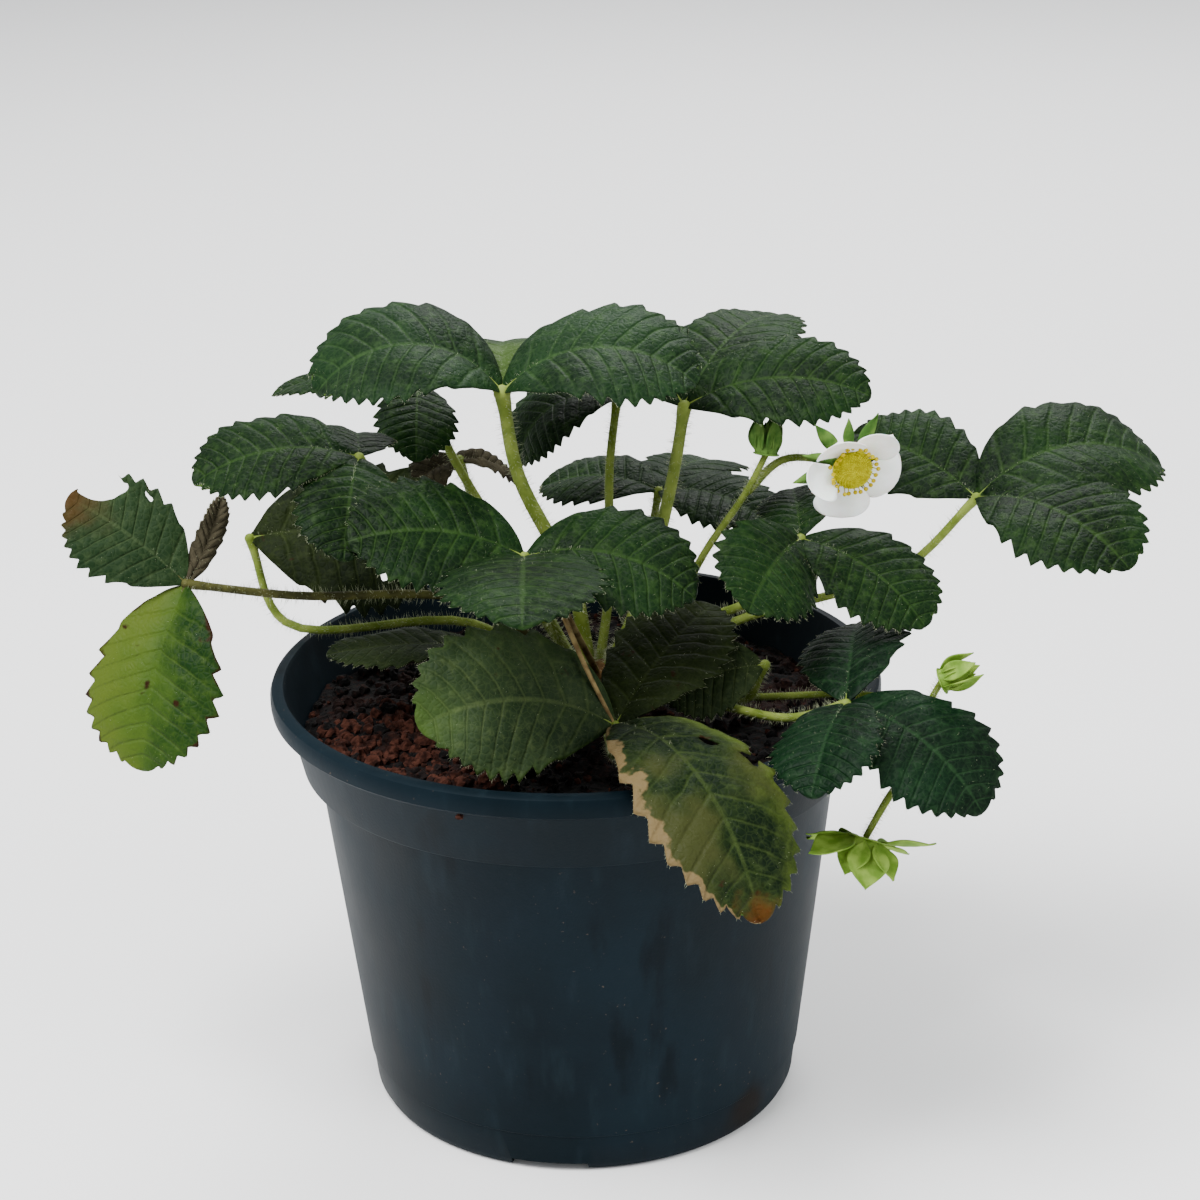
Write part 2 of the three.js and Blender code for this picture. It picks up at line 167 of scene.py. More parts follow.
class Finish:
    """A material and the short calls that wire its nodes."""

    def __init__(self, name, roughness, specular):
        self.material = bpy.data.materials.new(name)
        self.material.use_nodes = True
        self.tree = self.material.node_tree
        self.shader = self.tree.nodes["Principled BSDF"]
        self.shader.inputs["Roughness"].default_value = roughness
        self.shader.inputs["Specular IOR Level"].default_value = specular
        self.place = self.add("ShaderNodeTexCoord").outputs["Object"]

    def add(self, kind, inputs=None, **settings):
        node = self.tree.nodes.new(kind)
        for key, value in settings.items():
            setattr(node, key, value)
        for key, value in (inputs or {}).items():
            if isinstance(value, bpy.types.NodeSocket):
                self.tree.links.new(value, node.inputs[key])
            else:
                node.inputs[key].default_value = value
        return node

    def math(self, operation, first, second=0.0, third=0.0):
        node = self.add("ShaderNodeMath", {0: first, 1: second, 2: third}, operation=operation)
        return node.outputs[0]

    def step(self, value, low, high, top=1.0):
        """0 below low, the top value above high, and smooth between."""
        node = self.add(
            "ShaderNodeMapRange",
            {"Value": value, "From Min": low, "From Max": high, "To Max": top},
            interpolation_type="SMOOTHSTEP",
        )
        return node.outputs["Result"]

    def noise(self, scale, detail=3.0, place=None):
        node = self.add(
            "ShaderNodeTexNoise",
            {"Vector": place or self.place, "Scale": scale, "Detail": detail},
        )
        return node.outputs["Fac"]

    def mix(self, share, first, second):
        node = self.add("ShaderNodeMix", {0: share, 6: first, 7: second}, data_type="RGBA")
        return node.outputs[2]

    def over(self, colour, tint, value, low, high, top=1.0):
        """Lays a tint over the colour where the value is past the step."""
        return self.mix(self.step(value, low, high, top), colour, tint)

    def wire(self, socket, name):
        """The socket drives this input of the shader."""
        self.tree.links.new(socket, self.shader.inputs[name])

    def bump(self, height, distance, strength=1.0):
        node = self.add(
            "ShaderNodeBump", {"Height": height, "Distance": distance, "Strength": strength},
        )
        self.wire(node.outputs[0], "Normal")


def paint(piece, *finishes):
    for finish in finishes:
        piece.data.materials.append(finish)


print("material helpers ready")

# %% [markdown]
# ## Leaf finish
# A strawberry leaflet is dark and slightly glossy above, with sunken veins that run straight
# from the midrib to the tooth tips, and pale and matt below. Each blade carries a UV map that
# counts its veins along the midrib and goes from side to side across it, so the veins follow
# the leaf wherever it bends.
# Age is painted last, as marks: a margin that dries, a tip that browns, specks, patches, or
# one half that yellows first. A pale base is also a mark, and it is painted light shining
# through near the hub. Each mark is a threshold on the map with some noise in it.

# %% Leaf material
VEINS = 10  # side veins, and teeth, on each half of a leaflet
CROWDING = 1.25  # they stand closer together toward the tip


def leaf_finish(name, deep, light, vein, roughness=0.5, specular=0.06, veined=0.28, marks=()):
    finish = Finish(name, roughness, specular)
    split = finish.add(
        "ShaderNodeSeparateXYZ", {0: finish.add("ShaderNodeUVMap", uv_map="blade").outputs[0]})
    broad = finish.noise(40.0, 3.0)
    fine = finish.noise(420.0, 4.0)
    along = finish.math("MULTIPLY_ADD", finish.noise(110.0, 2.0), 0.03, split.outputs[0])
    across = split.outputs[1]
    from_rib = finish.math("ABSOLUTE", finish.math("MULTIPLY_ADD", across, 2.0, -1.0))
    to_vein = finish.math("PINGPONG", finish.math("MULTIPLY_ADD", along, VEINS, -0.14), 0.5)
    side_vein = finish.step(to_vein, 0.1, 0.015, 0.8)
    side_vein = finish.math("MULTIPLY", side_vein, finish.step(from_rib, 1.3, 0.1))
    midrib = finish.step(from_rib, 0.05, 0.012)
    veins = finish.math("MAXIMUM", side_vein, midrib)
    net = finish.add(
        "ShaderNodeTexVoronoi", {"Vector": finish.place, "Scale": 620.0},
        feature="DISTANCE_TO_EDGE",
    ).outputs["Distance"]
    deep, light, vein = (srgb(*tone) for tone in (deep, light, vein))
    colour = finish.over(deep, light, broad, 0.32, 0.68)
    colour = finish.over(colour, vein, fine, 0.45, 0.75, 0.25)
    colour = finish.over(colour, vein, net, 0.1, 0.0, 0.12)
    colour = finish.mix(finish.math("MULTIPLY", veins, veined), colour, vein)
    ragged = finish.math("MULTIPLY_ADD", finish.noise(150.0, 5.0), 0.5, -0.25)
    places = {
        "edge": finish.math("ADD", from_rib, ragged),
        "tip": finish.math("ADD", split.outputs[0], ragged),
        "left": finish.math("ADD", across, ragged),
        "right": finish.math("SUBTRACT", ragged, across),
        "base": finish.math("SUBTRACT", ragged, split.outputs[0]),
        "patch": broad,
        "speck": finish.noise(130.0, 5.0),
    }
    for place, tint, low, high in marks:
        colour = finish.over(colour, tint, places[place], low, high)
    finish.wire(colour, "Base Color")
    height = finish.math("MULTIPLY_ADD", finish.step(net, 0.0, 0.3), 0.3, fine)
    height = finish.math("MULTIPLY_ADD", finish.step(to_vein, 0.0, 0.16), 0.8, height)
    finish.bump(height, 0.00035, 0.8)
    return finish.material


print("leaf finish, with", VEINS, "veins a side")

# %% [markdown]
# ## The colours of the leaves
# A healthy plant is many greens at once: old leaves go olive, dying ones yellow from one side
# and brown at the margin. Each row below is one such state: its deep and light tone, its vein
# colour and the marks of age that it carries. The crest's two rows are the usual green made
# lighter, partly as young growth and partly as painted light and sheen, and the young row's pale
# base is painted light shining through near the hub. The bluish row is the usual green made
# darker, as painted shade.

# %% Leaf colours
BROWN = srgb(40, 24, 12)
UMBER = srgb(64, 46, 24)
ORANGE = srgb(68, 41, 16)
# Pale yellow-green, painted where light shines through a leaf near its hub.
BACKLIT_PALE = srgb(56, 74, 36)
TAN = srgb(98, 84, 58)
YELLOW = srgb(70, 84, 32)
LIME = srgb(56, 76, 28)
MOSS = srgb(50, 54, 28)

LEAF_TOP = leaf_finish("leaf_top", (7, 22, 9), (17, 37, 15), (56, 80, 38))
# The crest's green is lighter than the usual: partly young growth, partly painted light and sheen
# on the topmost leaf.
LIT_CREST_TOP = leaf_finish("lit_crest_leaf_top", (12, 28, 14), (24, 44, 24), (60, 84, 46))
# The crest's middle leaflet: the crest's lighter green, young and with painted light, and a pale
# base painted as light shining through near the hub.
LIT_YOUNG_TOP = leaf_finish(
    "lit_young_leaf_top", (12, 28, 14), (24, 44, 24), (60, 84, 46),
    marks=[("base", BACKLIT_PALE, -0.5, -0.2)])
LEAF_UNDER = leaf_finish(
    "leaf_under", (44, 66, 28), (60, 82, 38), (100, 116, 56), 0.7, 0.05, 0.6)
# A darker copy of the usual green, a little bluer, for the low right leaf: its darkness is
# painted shade.
SHADED_BLUISH_TOP = leaf_finish("shaded_bluish_leaf_top", (5, 21, 12), (11, 32, 18), (44, 70, 42))
OLD_TOP = leaf_finish(
    "old_leaf_top", (16, 24, 10), (30, 38, 18), (56, 66, 34), 0.6,
    marks=[("speck", BROWN, 0.66, 0.72)])
GREY_TOP = leaf_finish(
    "greyish_leaf_top", (24, 34, 18), (38, 48, 28), (70, 80, 48), 0.6,
    marks=[("speck", BROWN, 0.68, 0.74)])
OLIVE_TOP = leaf_finish(
    "olive_leaf_top", (22, 35, 20), (42, 55, 34), (76, 88, 52), 0.55,
    marks=[("tip", LIME, 0.6, 1.3), ("edge", LIME, 0.85, 1.3), ("speck", BROWN, 0.7, 0.76)])
MOTTLED_TOP = leaf_finish(
    "mottled_leaf_top", (10, 24, 10), (26, 40, 18), (66, 80, 40), 0.5,
    marks=[("patch", MOSS, 0.45, 0.62), ("left", YELLOW, 0.72, 1.2),
           ("tip", YELLOW, 0.8, 1.5), ("speck", BROWN, 0.66, 0.72),
           ("tip", ORANGE, 0.84, 1.04), ("right", TAN, -0.1, -0.06)])
YELLOWING_TOP = leaf_finish(
    "yellowing_leaf_top", (20, 42, 16), (34, 56, 20), (72, 92, 34), 0.5,
    marks=[("right", LIME, -0.75, -0.4), ("right", YELLOW, -0.6, -0.1),
           ("patch", LIME, 0.45, 0.8), ("speck", BROWN, 0.65, 0.71),
           ("edge", BROWN, 0.93, 1.02)])
TORN_TOP = leaf_finish(
    "torn_leaf_top", (26, 42, 24), (40, 56, 34), (70, 84, 54), 0.6,
    marks=[("tip", UMBER, 0.5, 1.05), ("patch", BROWN, 0.64, 0.74),
           ("edge", BROWN, 1.0, 1.12), ("speck", YELLOW, 0.7, 0.75)])
DRY = leaf_finish("dry_leaf", (36, 34, 26), (62, 58, 46), (84, 78, 62), 0.85, 0.05)
print("twelve leaf colours")

# %% [markdown]
# ## Stalk, petal and flower finishes
# Stalks are yellow-green and a little uneven, like most of a plant's small parts, so one plain
# recipe with two tones and fine noise serves them all. Petals are thin, and light passes into
# them: a touch of subsurface keeps their shade soft.


# %% Plain finishes
def plain_finish(name, first, second, scale, roughness, relief=0.0002):
    finish = Finish(name, roughness, 0.1)
    grain = finish.noise(scale, 5.0)
    finish.wire(finish.over(srgb(*first), srgb(*second), grain, 0.35, 0.65), "Base Color")
    finish.bump(grain, relief)
    return finish.material


COARSE = 0.0008  # relief of bark and soil, in metres
STALK = plain_finish("stalk", (92, 108, 42), (118, 132, 62), 220.0, 0.55)
OLD_STALK = plain_finish("old_stalk", (50, 50, 28), (78, 78, 42), 220.0, 0.6)
DRY_STALK = plain_finish("dry_stalk", (96, 78, 52), (134, 116, 78), 300.0, 0.8)
RUST = plain_finish("rusty_soil", (34, 20, 16), (70, 43, 35), 500.0, 0.95, COARSE)
BARK = plain_finish("crown_bark", (60, 42, 28), (104, 80, 50), 260.0, 0.9, COARSE)
CALYX = plain_finish("calyx", (92, 124, 44), (126, 154, 66), 260.0, 0.6)
DEEP_CALYX = plain_finish("deep_calyx", (56, 88, 36), (88, 118, 54), 260.0, 0.6)
ANTHER = plain_finish("anther", (166, 144, 0), (200, 182, 6), 900.0, 0.7)
EYE = plain_finish("flower_eye", (160, 152, 0), (190, 184, 4), 900.0, 0.7)
FRUIT = plain_finish("young_fruit", (128, 118, 36), (164, 150, 62), 700.0, 0.65)
HAIR = plain_finish("hair", (150, 158, 124), (182, 186, 156), 300.0, 0.6)
PETAL_WHITE = plain_finish("petal", (240, 240, 232), (252, 252, 248), 160.0, 0.6)
petal_shader = PETAL_WHITE.node_tree.nodes["Principled BSDF"]
petal_shader.inputs["Subsurface Weight"].default_value = 0.2
petal_shader.inputs["Subsurface Scale"].default_value = 0.002
print("stalk, petal, fruit and hair finishes")

# %% [markdown]
# ## Pot finish
# A nursery pot is moulded from dark recycled plastic. It is satin, a little cloudy, dusted with
# soil, and scuffed by the pots it was stacked with: fine scratches that run up and down, which
# a noise gives when it is stretched along Z. One brown stain sits low on its right.


# %% Pot material
STAIN = Vector((43, -39, 8)) * MM


def pot_finish():
    finish = Finish("pot_plastic", 0.5, 0.06)
    finish.shader.inputs["Specular Tint"].default_value = (0.7, 0.88, 1, 1)
    cloud = finish.noise(24.0, 6.0)
    colour = finish.over(srgb(12, 20, 24), srgb(20, 30, 36), cloud, 0.3, 0.7)
    dust = finish.step(finish.noise(900.0, 2.0), 0.7, 0.78, 0.3)
    dust = finish.math("MULTIPLY", dust, finish.step(cloud, 0.42, 0.62))
    colour = finish.mix(dust, colour, srgb(112, 96, 80))
    tall = finish.add("ShaderNodeMapping", {"Vector": finish.place, "Scale": (1, 1, 0.25)})
    scuff = finish.noise(200.0, 4.0, tall.outputs[0])
    colour = finish.over(colour, srgb(34, 46, 52), scuff, 0.52, 0.8, 0.25)
    dark_scuff = finish.noise(90.0, 5.0, tall.outputs[0])
    colour = finish.over(colour, srgb(6, 11, 13), dark_scuff, 0.58, 0.72, 0.6)
    away = finish.add("ShaderNodeVectorMath", {0: finish.place, 1: STAIN}, operation="DISTANCE")
    stain = finish.math("MULTIPLY_ADD", cloud, 0.02, away.outputs["Value"])
    colour = finish.over(colour, srgb(25, 18, 13), stain, 0.021, 0.014, 0.85)
    finish.wire(colour, "Base Color")
    finish.wire(finish.math("MULTIPLY_ADD", cloud, 0.35, 0.34), "Roughness")
    finish.bump(finish.noise(1500.0, 2.0), 0.00005, 0.6)
    return finish.material


POT_PLASTIC = pot_finish()
print("pot finish")

# %% [markdown]
# ## Soil finish
# Potting mix is dark and crumbly. Here it holds broken brick or laterite, so some of it
# is rusty red. Two noises mix the two earths, a broad one for patches and a fine one for
# crumbs.


# %% Soil material
def soil_finish():
    finish = Finish("soil", 0.95, 0.2)
    crumb = finish.noise(600.0, 4.0)
    patch = finish.noise(50.0, 6.0)
    colour = finish.over(srgb(11, 9, 9), srgb(34, 19, 15), patch, 0.48, 0.66)
    colour = finish.over(colour, srgb(58, 32, 24), crumb, 0.52, 0.72, 0.5)
    finish.wire(colour, "Base Color")
    finish.bump(crumb, 0.0012)
    return finish.material


SOIL = soil_finish()
print("soil finish")

# %% [markdown]
# ## The shape of a blade
# Leaflets, petals and sepals are all blades: a midrib that bends in an arc, with a width that
# grows from a wedge and closes in a round tip. They could be drawn as flat outlines and bent
# with a modifier, but a formula for the surface lets the hairs, ribs and margins find their
# places on it too. The blade is folded along its midrib and cupped across it.

# %% Directions and blades
WEDGE = 0.9  # how the width grows from the base
ROUND = 0.6  # how it closes at the tip
POINTED = 1.2  # how a sepal's closes


def toward(heading, pitch):
    flat = math.cos(math.radians(pitch))
    return Vector((
        flat * math.cos(math.radians(heading)),
        flat * math.sin(math.radians(heading)),
        math.sin(math.radians(pitch)),
    ))


def half_width(s, tip):
    """The half width as a share of the widest, at s from base (0) to tip (1)."""
    widest = WEDGE / (WEDGE + tip)
    return (s / widest) ** WEDGE * ((1 - s) / (1 - widest)) ** tip


def midrib_point(blade, s):
    """A point of the midrib, which is an arc that starts at the rise and droops to the tip."""
    droop = math.radians(blade["droop"])
    rise = math.radians(blade["rise"])
    pitch = rise - droop * s
    reach = blade["long"] / droop * (math.sin(rise) - math.sin(pitch))
    height = blade["long"] / droop * (math.cos(pitch) - math.cos(rise))
    return blade["base"] + toward(blade["heading"], 0) * reach + Vector((0, 0, height))


def blade_axes(blade, s):
    """Ahead, left and up for someone who walks on the blade's midrib at s."""
    ahead = toward(blade["heading"], blade["rise"] - blade["droop"] * s)
    left = toward(blade["heading"] + 90, 0)
    left = Quaternion(ahead, math.radians(blade["roll"])) @ left
    return ahead, left, ahead.cross(left)


def blade_point(blade, s, w):
    """The blade's surface at s along the midrib (0 to 1) and w across it (-1 to 1)."""
    _, left, up = blade_axes(blade, s)
    half = blade["wide"] / 2 * half_width(s, blade.get("tip", ROUND))
    if s < 0.5:
        half = max(half, blade["foot"])
    across = w * half
    bend = abs(across) * math.tan(math.radians(blade["fold"]))
    bend -= blade["cup"] * across ** 2 / (blade["wide"] / 2)
    return midrib_point(blade, s) + left * across + up * bend


print("a leaflet is widest at", round(WEDGE / (WEDGE + ROUND), 2), "of its length")

# %% [markdown]
# ## From a grid to a leaflet
# A flat grid is laid along the blade, with its cross lines swept forward as the side veins
# are. Each side vein ends in a tooth, which rises slowly, points forward and drops sharply.
# Near its base the margin is smooth. Between two veins the tissue puffs up a little. Where an
# insect or rot has eaten a hole, the points inside it are removed and those around it are drawn
# to its ragged rim.


# %% Blades from grids
TOOTH_DROP = 0.22  # share of a tooth's step in which its front drops
TEETH = 0.15  # depth of a tooth, as a share of the half width
TOOTH_ROOT = 0.6  # how far out in the half width the teeth begin
SMOOTH_BASE = 0.12  # share of the margin that has none
TIP_LEAN = 0.35  # how far the teeth at the tip are drawn back
SWEEP = 0.75  # how far the side veins run forward
RELIEF = 0.35  # how far the tissue puffs up, in mm
WAVE = 1.5  # how far the margin swings, in mm
PETAL_VEINS = 5
HOLE_SPREAD = 2.4  # w runs over the half width, so a round hole needs more of it than of t


def tooth_shape(turn):
    """How far a margin stands back at this share of a tooth's step: 0 at the tooth's point."""
    return turn / TOOTH_DROP if turn < TOOTH_DROP else (1 - turn) / (1 - TOOTH_DROP)


def ragged_radius(offset, seed):
    spot = Vector((offset.x, offset.y, 0)).normalized() * 1.3 + Vector((0, 0, seed * 7.3))
    return 1 + 0.4 * noise.noise(spot)


def faces_of(verts):
    return {face for vert in verts for face in vert.link_faces}


def tear(shape, flat, holes):
    """Removes the points in each hole, and draws its neighbours to the rim. A hole is where it
    lies along and across, and its radius along."""
    for seed, (along, across, size) in enumerate(holes):
        def offset(vert):
            t, w = flat[vert]
            return Vector(((t - along) / size, (w - across) / (size * HOLE_SPREAD)))

        torn = [v for v in flat if offset(v).length < ragged_radius(offset(v), seed)]
        near = {vert for face in faces_of(torn) for vert in face.verts} - set(torn)
        for vert in near:
            rim = offset(vert).normalized() * ragged_radius(offset(vert), seed)
            flat[vert] = (along + rim.x * size, across + rim.y * size * HOLE_SPREAD)
        for vert in torn:
            del flat[vert]
        bmesh.ops.delete(shape, geom=torn, context="VERTS")


def add_blade(shape, blade, steps, teeth=TEETH, relief=RELIEF, holes=(), slot=0):
    """Bends a grid into a toothed, veined blade. It gives back the places for hairs: each with
    its direction, on the margin and on the upper face."""
    uv = shape.loops.layers.uv.verify()
    grid = bmesh.ops.create_grid(shape, x_segments=steps[0], y_segments=steps[1], size=1)
    flat = {v: ((v.co.x + 1) / 2, v.co.y) for v in grid["verts"]}
    tear(shape, flat, holes)
    for face in faces_of(flat):
        face.material_index = slot
        face.smooth = True
        for loop in face.loops:
            t, w = flat[loop.vert]
            loop[uv].uv = (max(0, t) ** CROWDING, (w + 1) / 2)
    veins = VEINS if teeth else PETAL_VEINS
    wave = blade.get("wave", WAVE)
    margin, upper = [], []
    for vert, (t, w) in flat.items():
        side = abs(w)
        swept = t + SWEEP * side * t * (1 - t)
        count = max(0, t) ** CROWDING * veins
        turn = count % 1
        big = 1 + 0.5 * noise.noise(Vector((count // 1, math.copysign(3, w), blade["heading"])))
        outer = max(0, side - TOOTH_ROOT) / (1 - TOOTH_ROOT)
        toothed = max(0, min(1, 8 * (t - SMOOTH_BASE), 14 * (1 - t)))
        notch = teeth * big * tooth_shape(turn) * outer * toothed
        ahead, _, up = blade_axes(blade, swept)
        place = blade_point(blade, swept, w * (1 - notch))
        place -= ahead * blade["long"] * TIP_LEAN * notch * t ** 4
        phase = abs((count + 0.5) % 1 - 0.5) * 2
        puff = relief * phase ** 0.6 * math.sin(math.pi * min(1, side * 1.05)) * (1 - swept * 0.3)
        slow = noise.noise(place * 0.07) * wave * side * min(1, 4 * t)
        crumple = noise.noise(place * 0.3) * relief * 0.8 * min(1, 3 * side)
        vert.co = (place + up * (puff + slow + crumple)) * MM
        if side > 0.98 and 0.08 < t < 0.995:
            margin.append(vert)
        elif side < 0.9 and 0.05 < t < 0.95:
            upper.append((vert.co / MM, up))
    rim = []
    for vert in margin:
        inner = min((e.other_vert(vert) for e in vert.link_edges), key=lambda v: abs(flat[v][1]))
        rim.append((vert.co / MM, (vert.co - inner.co).normalized()))
    bmesh.ops.remove_doubles(shape, verts=list(flat), dist=0.02 * MM)
    return rim, upper


print("a tooth rises over", 1 - TOOTH_DROP, "of its step")

# %% [markdown]
# ## Thickness and places
# A leaf is a sheet less than half a millimetre thick. Solidify gives the flat grid its second
# face and its rim, and can paint that second face with the next finish in the list, which is
# how a leaf gets its pale underside. Every piece then rides with the plant, and either stands
# for its solid in the frame or is new detail, such as hair.

# %% Pieces
LEAF_THICK, PETAL_THICK, SEPAL_THICK = 0.4, 0.25, 0.3


def smooth(shape):
    for face in shape.faces:
        face.smooth = True


def hand_in(piece, node=None):
    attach(piece, "root")
    if node:
        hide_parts(node)


def dress(name, shape, finishes, node=None, thick=None):
    """Makes a painted piece of a shape. A shape with a thickness is a sheet of blades."""
    piece = to_object(name, shape)
    paint(piece, *finishes)
    if thick:
        piece.data.uv_layers[0].name = "blade"
        wall = piece.modifiers.new("thickness", "SOLIDIFY")
        wall.thickness = thick * MM
        wall.offset = 0
        wall.material_offset = 1 if len(finishes) > 1 else 0
    hand_in(piece, node)
    return piece


print("leaf tissue is", LEAF_THICK, "mm thick")

# %% [markdown]
# ## The leaves' places
# The list below is the plant's own habit, as the frame has it: the bearing that each stalk
# takes from the crown, how far out and how high its hub is, the way the leaf faces, how its
# leaflets rise and droop, and what is odd about any of the three. The same few numbers shape
# the rough solids and these fine blades, so the two always agree.

# %% Leaf list
LEAFLET = 48  # usual leaflet length
WIDTH_TO_LENGTH = 0.8
SPREAD = 95  # side leaflets turn this far from the middle one
HUB_R = 2.2
STALK_R = 1.3
SOIL_TOP = 105
CROWN = Vector((5, 5, SOIL_TOP + 1))
CROWN_R = 11

SIDES = {
    "left": {"turn": SPREAD, "size": 0.95, "roll": -12},
    "middle": {"turn": 0, "size": 1, "roll": 0},
    "right": {"turn": -SPREAD, "size": 0.95, "roll": 12},
}
HABITS = {
    "arched": {"rise": 60, "droop": 105},
    "rising": {"rise": 45, "droop": 60},
    "spreading": {"rise": 20, "droop": 50},
    "hanging": {"rise": 0, "droop": 60},
}
LEAVES = [
    {
        "name": "crest", "bearing": 210, "reach": 25, "height": 195, "faces": 90,
        "habit": "arched", "size": 1.2, "polar": 10, "stalk": 2, "arrives": 80,
        "left": {"droop": 115, "roll": -20}, "middle": {"rise": 45, "size": 0.8},
        "right": {"rise": 50, "droop": 95, "roll": 20},
    },
    {
        "name": "right_high", "bearing": 10, "reach": 25, "height": 185, "faces": 55,
        "habit": "rising", "size": 1.1, "polar": 25, "stalk": 1.8, "arrives": 80,
        "left": {"turn": 70, "size": 0.85, "roll": -10}, "middle": {"slim": 0.8},
        "right": {"turn": -65, "rise": 35, "droop": 60, "roll": 30, "slim": 0.8},
    },
    {
        "name": "right_far", "bearing": 0, "reach": 100, "height": 160, "faces": 15,
        "habit": "rising", "size": 1.1, "polar": 60, "arrives": 45,
        "left": {"turn": 120, "rise": 30, "droop": 35, "roll": -25, "size": 0.8},
        "middle": {"droop": 85, "roll": 20, "size": 1.1, "slim": 0.9},
        "right": {"turn": -60, "rise": 20, "roll": 15},
    },
    {
        "name": "front_mid", "bearing": 245, "reach": 40, "height": 160, "faces": -90,
        "habit": "spreading", "size": 1, "polar": 40,
        "left": {"turn": 80, "droop": 65, "roll": 25}, "middle": {"droop": 35, "size": 1.1},
        "right": {"turn": -80, "rise": 35, "roll": -35},
    },
    {
        "name": "left_high", "bearing": 195, "reach": 60, "height": 180, "faces": 190,
        "habit": "spreading", "size": 0.9, "polar": 30,
        "left": {"turn": 75, "rise": -5, "size": 0.8},
        "middle": {"rise": 25, "droop": 60, "roll": -20}, "right": {"size": 0.6},
    },
    {
        "name": "left_back", "bearing": 145, "reach": 55, "height": 185, "faces": 175,
        "habit": "spreading", "size": 0.85, "polar": 35,
        "left": {"rise": -5, "size": 0.7}, "middle": {"slim": 0.7}, "right": {"size": 0.7},
    },
    {
        "name": "back_small", "bearing": 75, "reach": 30, "height": 180, "faces": 100,
        "habit": "arched", "size": 0.65, "polar": 35,
        "left": {"rise": 30, "droop": 120, "size": 1.2},
    },
    {
        "name": "back_low", "bearing": 65, "reach": 45, "height": 150, "faces": 60,
        "habit": "spreading", "size": 0.8, "polar": 60,
    },
    {
        "name": "left_old", "bearing": 165, "reach": 95, "height": 145, "faces": 180,
        "habit": "spreading", "size": 1.2, "polar": 60, "arrives": 70,
        "left": None, "middle": {"turn": 170, "rise": 15, "droop": 40, "roll": 45},
        "right": None,
    },
    {
        "name": "left_low", "bearing": 195, "reach": 30, "height": 125, "faces": 185,
        "habit": "spreading", "size": 0.85, "polar": 80,
        "left": None, "middle": {"rise": 10, "droop": 20, "slim": 0.8}, "right": None,
    },
    {
        "name": "left_trail", "bearing": 185, "reach": 105, "height": 145, "faces": 245,
        "habit": "hanging", "size": 1.05, "polar": 45, "arrives": 10,
        "left": {"turn": 165, "rise": 40, "droop": -30, "size": 0.5, "slim": 0.4, "roll": 60},
        "middle": {"rise": -35, "droop": 45},
        "right": {"turn": -80, "rise": 45, "droop": 20, "roll": -45, "size": 0.75},
    },
    {
        "name": "front_low", "bearing": -85, "reach": 50, "height": 120, "faces": -60,
        "habit": "hanging", "size": 1.15, "polar": 75,
        "left": {"turn": 115, "rise": 35, "droop": 30, "roll": 10, "size": 0.9, "slim": 0.8},
        "middle": {"rise": 25, "droop": 95, "size": 1.4, "slim": 0.65},
        "right": {"turn": -105, "rise": 40, "droop": 65, "roll": -50},
    },
    {
        "name": "middle_low", "bearing": -30, "reach": 50, "height": 125, "faces": 195,
        "habit": "spreading", "size": 0.6, "polar": 50,
        "left": None, "middle": {"rise": 5, "droop": 30, "roll": -50}, "right": None,
    },
    {
        "name": "right_low", "bearing": -40, "reach": 80, "height": 125, "faces": -40,
        "habit": "spreading", "size": 0.95, "polar": 75, "arrives": 25,
        "left": {"turn": 120, "rise": 35, "roll": -20, "size": 0.85},
        "middle": {"rise": 5, "droop": 60, "roll": 15},
        "right": {"turn": -70, "rise": 15, "droop": 65, "size": 0.8},
    },
    {
        "name": "flower_side", "bearing": -15, "reach": 55, "height": 155, "faces": -35,
        "habit": "spreading", "size": 0.95, "polar": 45,
        "left": {"turn": 125, "rise": 35, "size": 0.6},
        "middle": {"rise": 0, "roll": 15, "size": 0.9},
        "right": {"turn": -80, "rise": 10, "droop": 40, "roll": -40, "size": 0.85},
    },
    {
        "name": "withered", "bearing": 130, "reach": 55, "height": 160, "faces": 110,
        "habit": "hanging", "size": 0.45, "polar": 50,
    },
]
print(len(LEAVES), "leaves")

# %% [markdown]
# ## Rods
# Stalks and stems are round rods along a route. A curve with a round bevel makes one, and each
# of its points has its own radius, so the rod can be thicker at its foot. The routes are the
# frame's: a smooth spline through a few points, evened out so that it never overshoots.


# %% Routes and rods
def barry_goldman(points, knots, t):
    """One point of a Catmull-Rom spline, by repeated blending between neighbours."""
    level = list(points)
    for span in (1, 2):
        level = [
            level[i].lerp(level[i + 1], (t - knots[i]) / (knots[i + span] - knots[i]))
            for i in range(len(level) - 1)
        ]
    return level[0].lerp(level[1], (t - knots[1]) / (knots[2] - knots[1]))


def spline(points, steps=8):
    """A smooth route through the points."""
    points = [points[0] * 2 - points[1], *points, points[-1] * 2 - points[-2]]
    route = []
    for four in zip(points, points[1:], points[2:], points[3:]):
        knots = [0.0]
        for here, there in zip(four, four[1:]):
            knots.append(knots[-1] + math.sqrt((there - here).length))
        for k in range(steps):
            t = knots[1] + (knots[2] - knots[1]) * k / steps
            route.append(barry_goldman(four, knots, t))
    return route + [points[-2]]


def rod(route, radii, sides=12):
    """A round rod along a route, as a mesh with closed ends."""
    data = bpy.data.curves.new("rod", "CURVE")
    data.dimensions = "3D"
    data.bevel_depth = 1
    data.bevel_resolution = sides // 4 - 1
    data.use_fill_caps = True
    line = data.splines.new("POLY")
    line.points.add(len(route) - 1)
    for point, place, radius in zip(line.points, route, radii):
        point.co = (*(place * MM), 1)
        point.radius = radius * MM
    carrier = bpy.data.objects.new("rod", data)
    mesh = bpy.data.meshes.new_from_object(carrier)
    bpy.data.objects.remove(carrier)
    return mesh


def taper(count, foot, top):
    return [foot + (top - foot) * i / (count - 1) for i in range(count)]


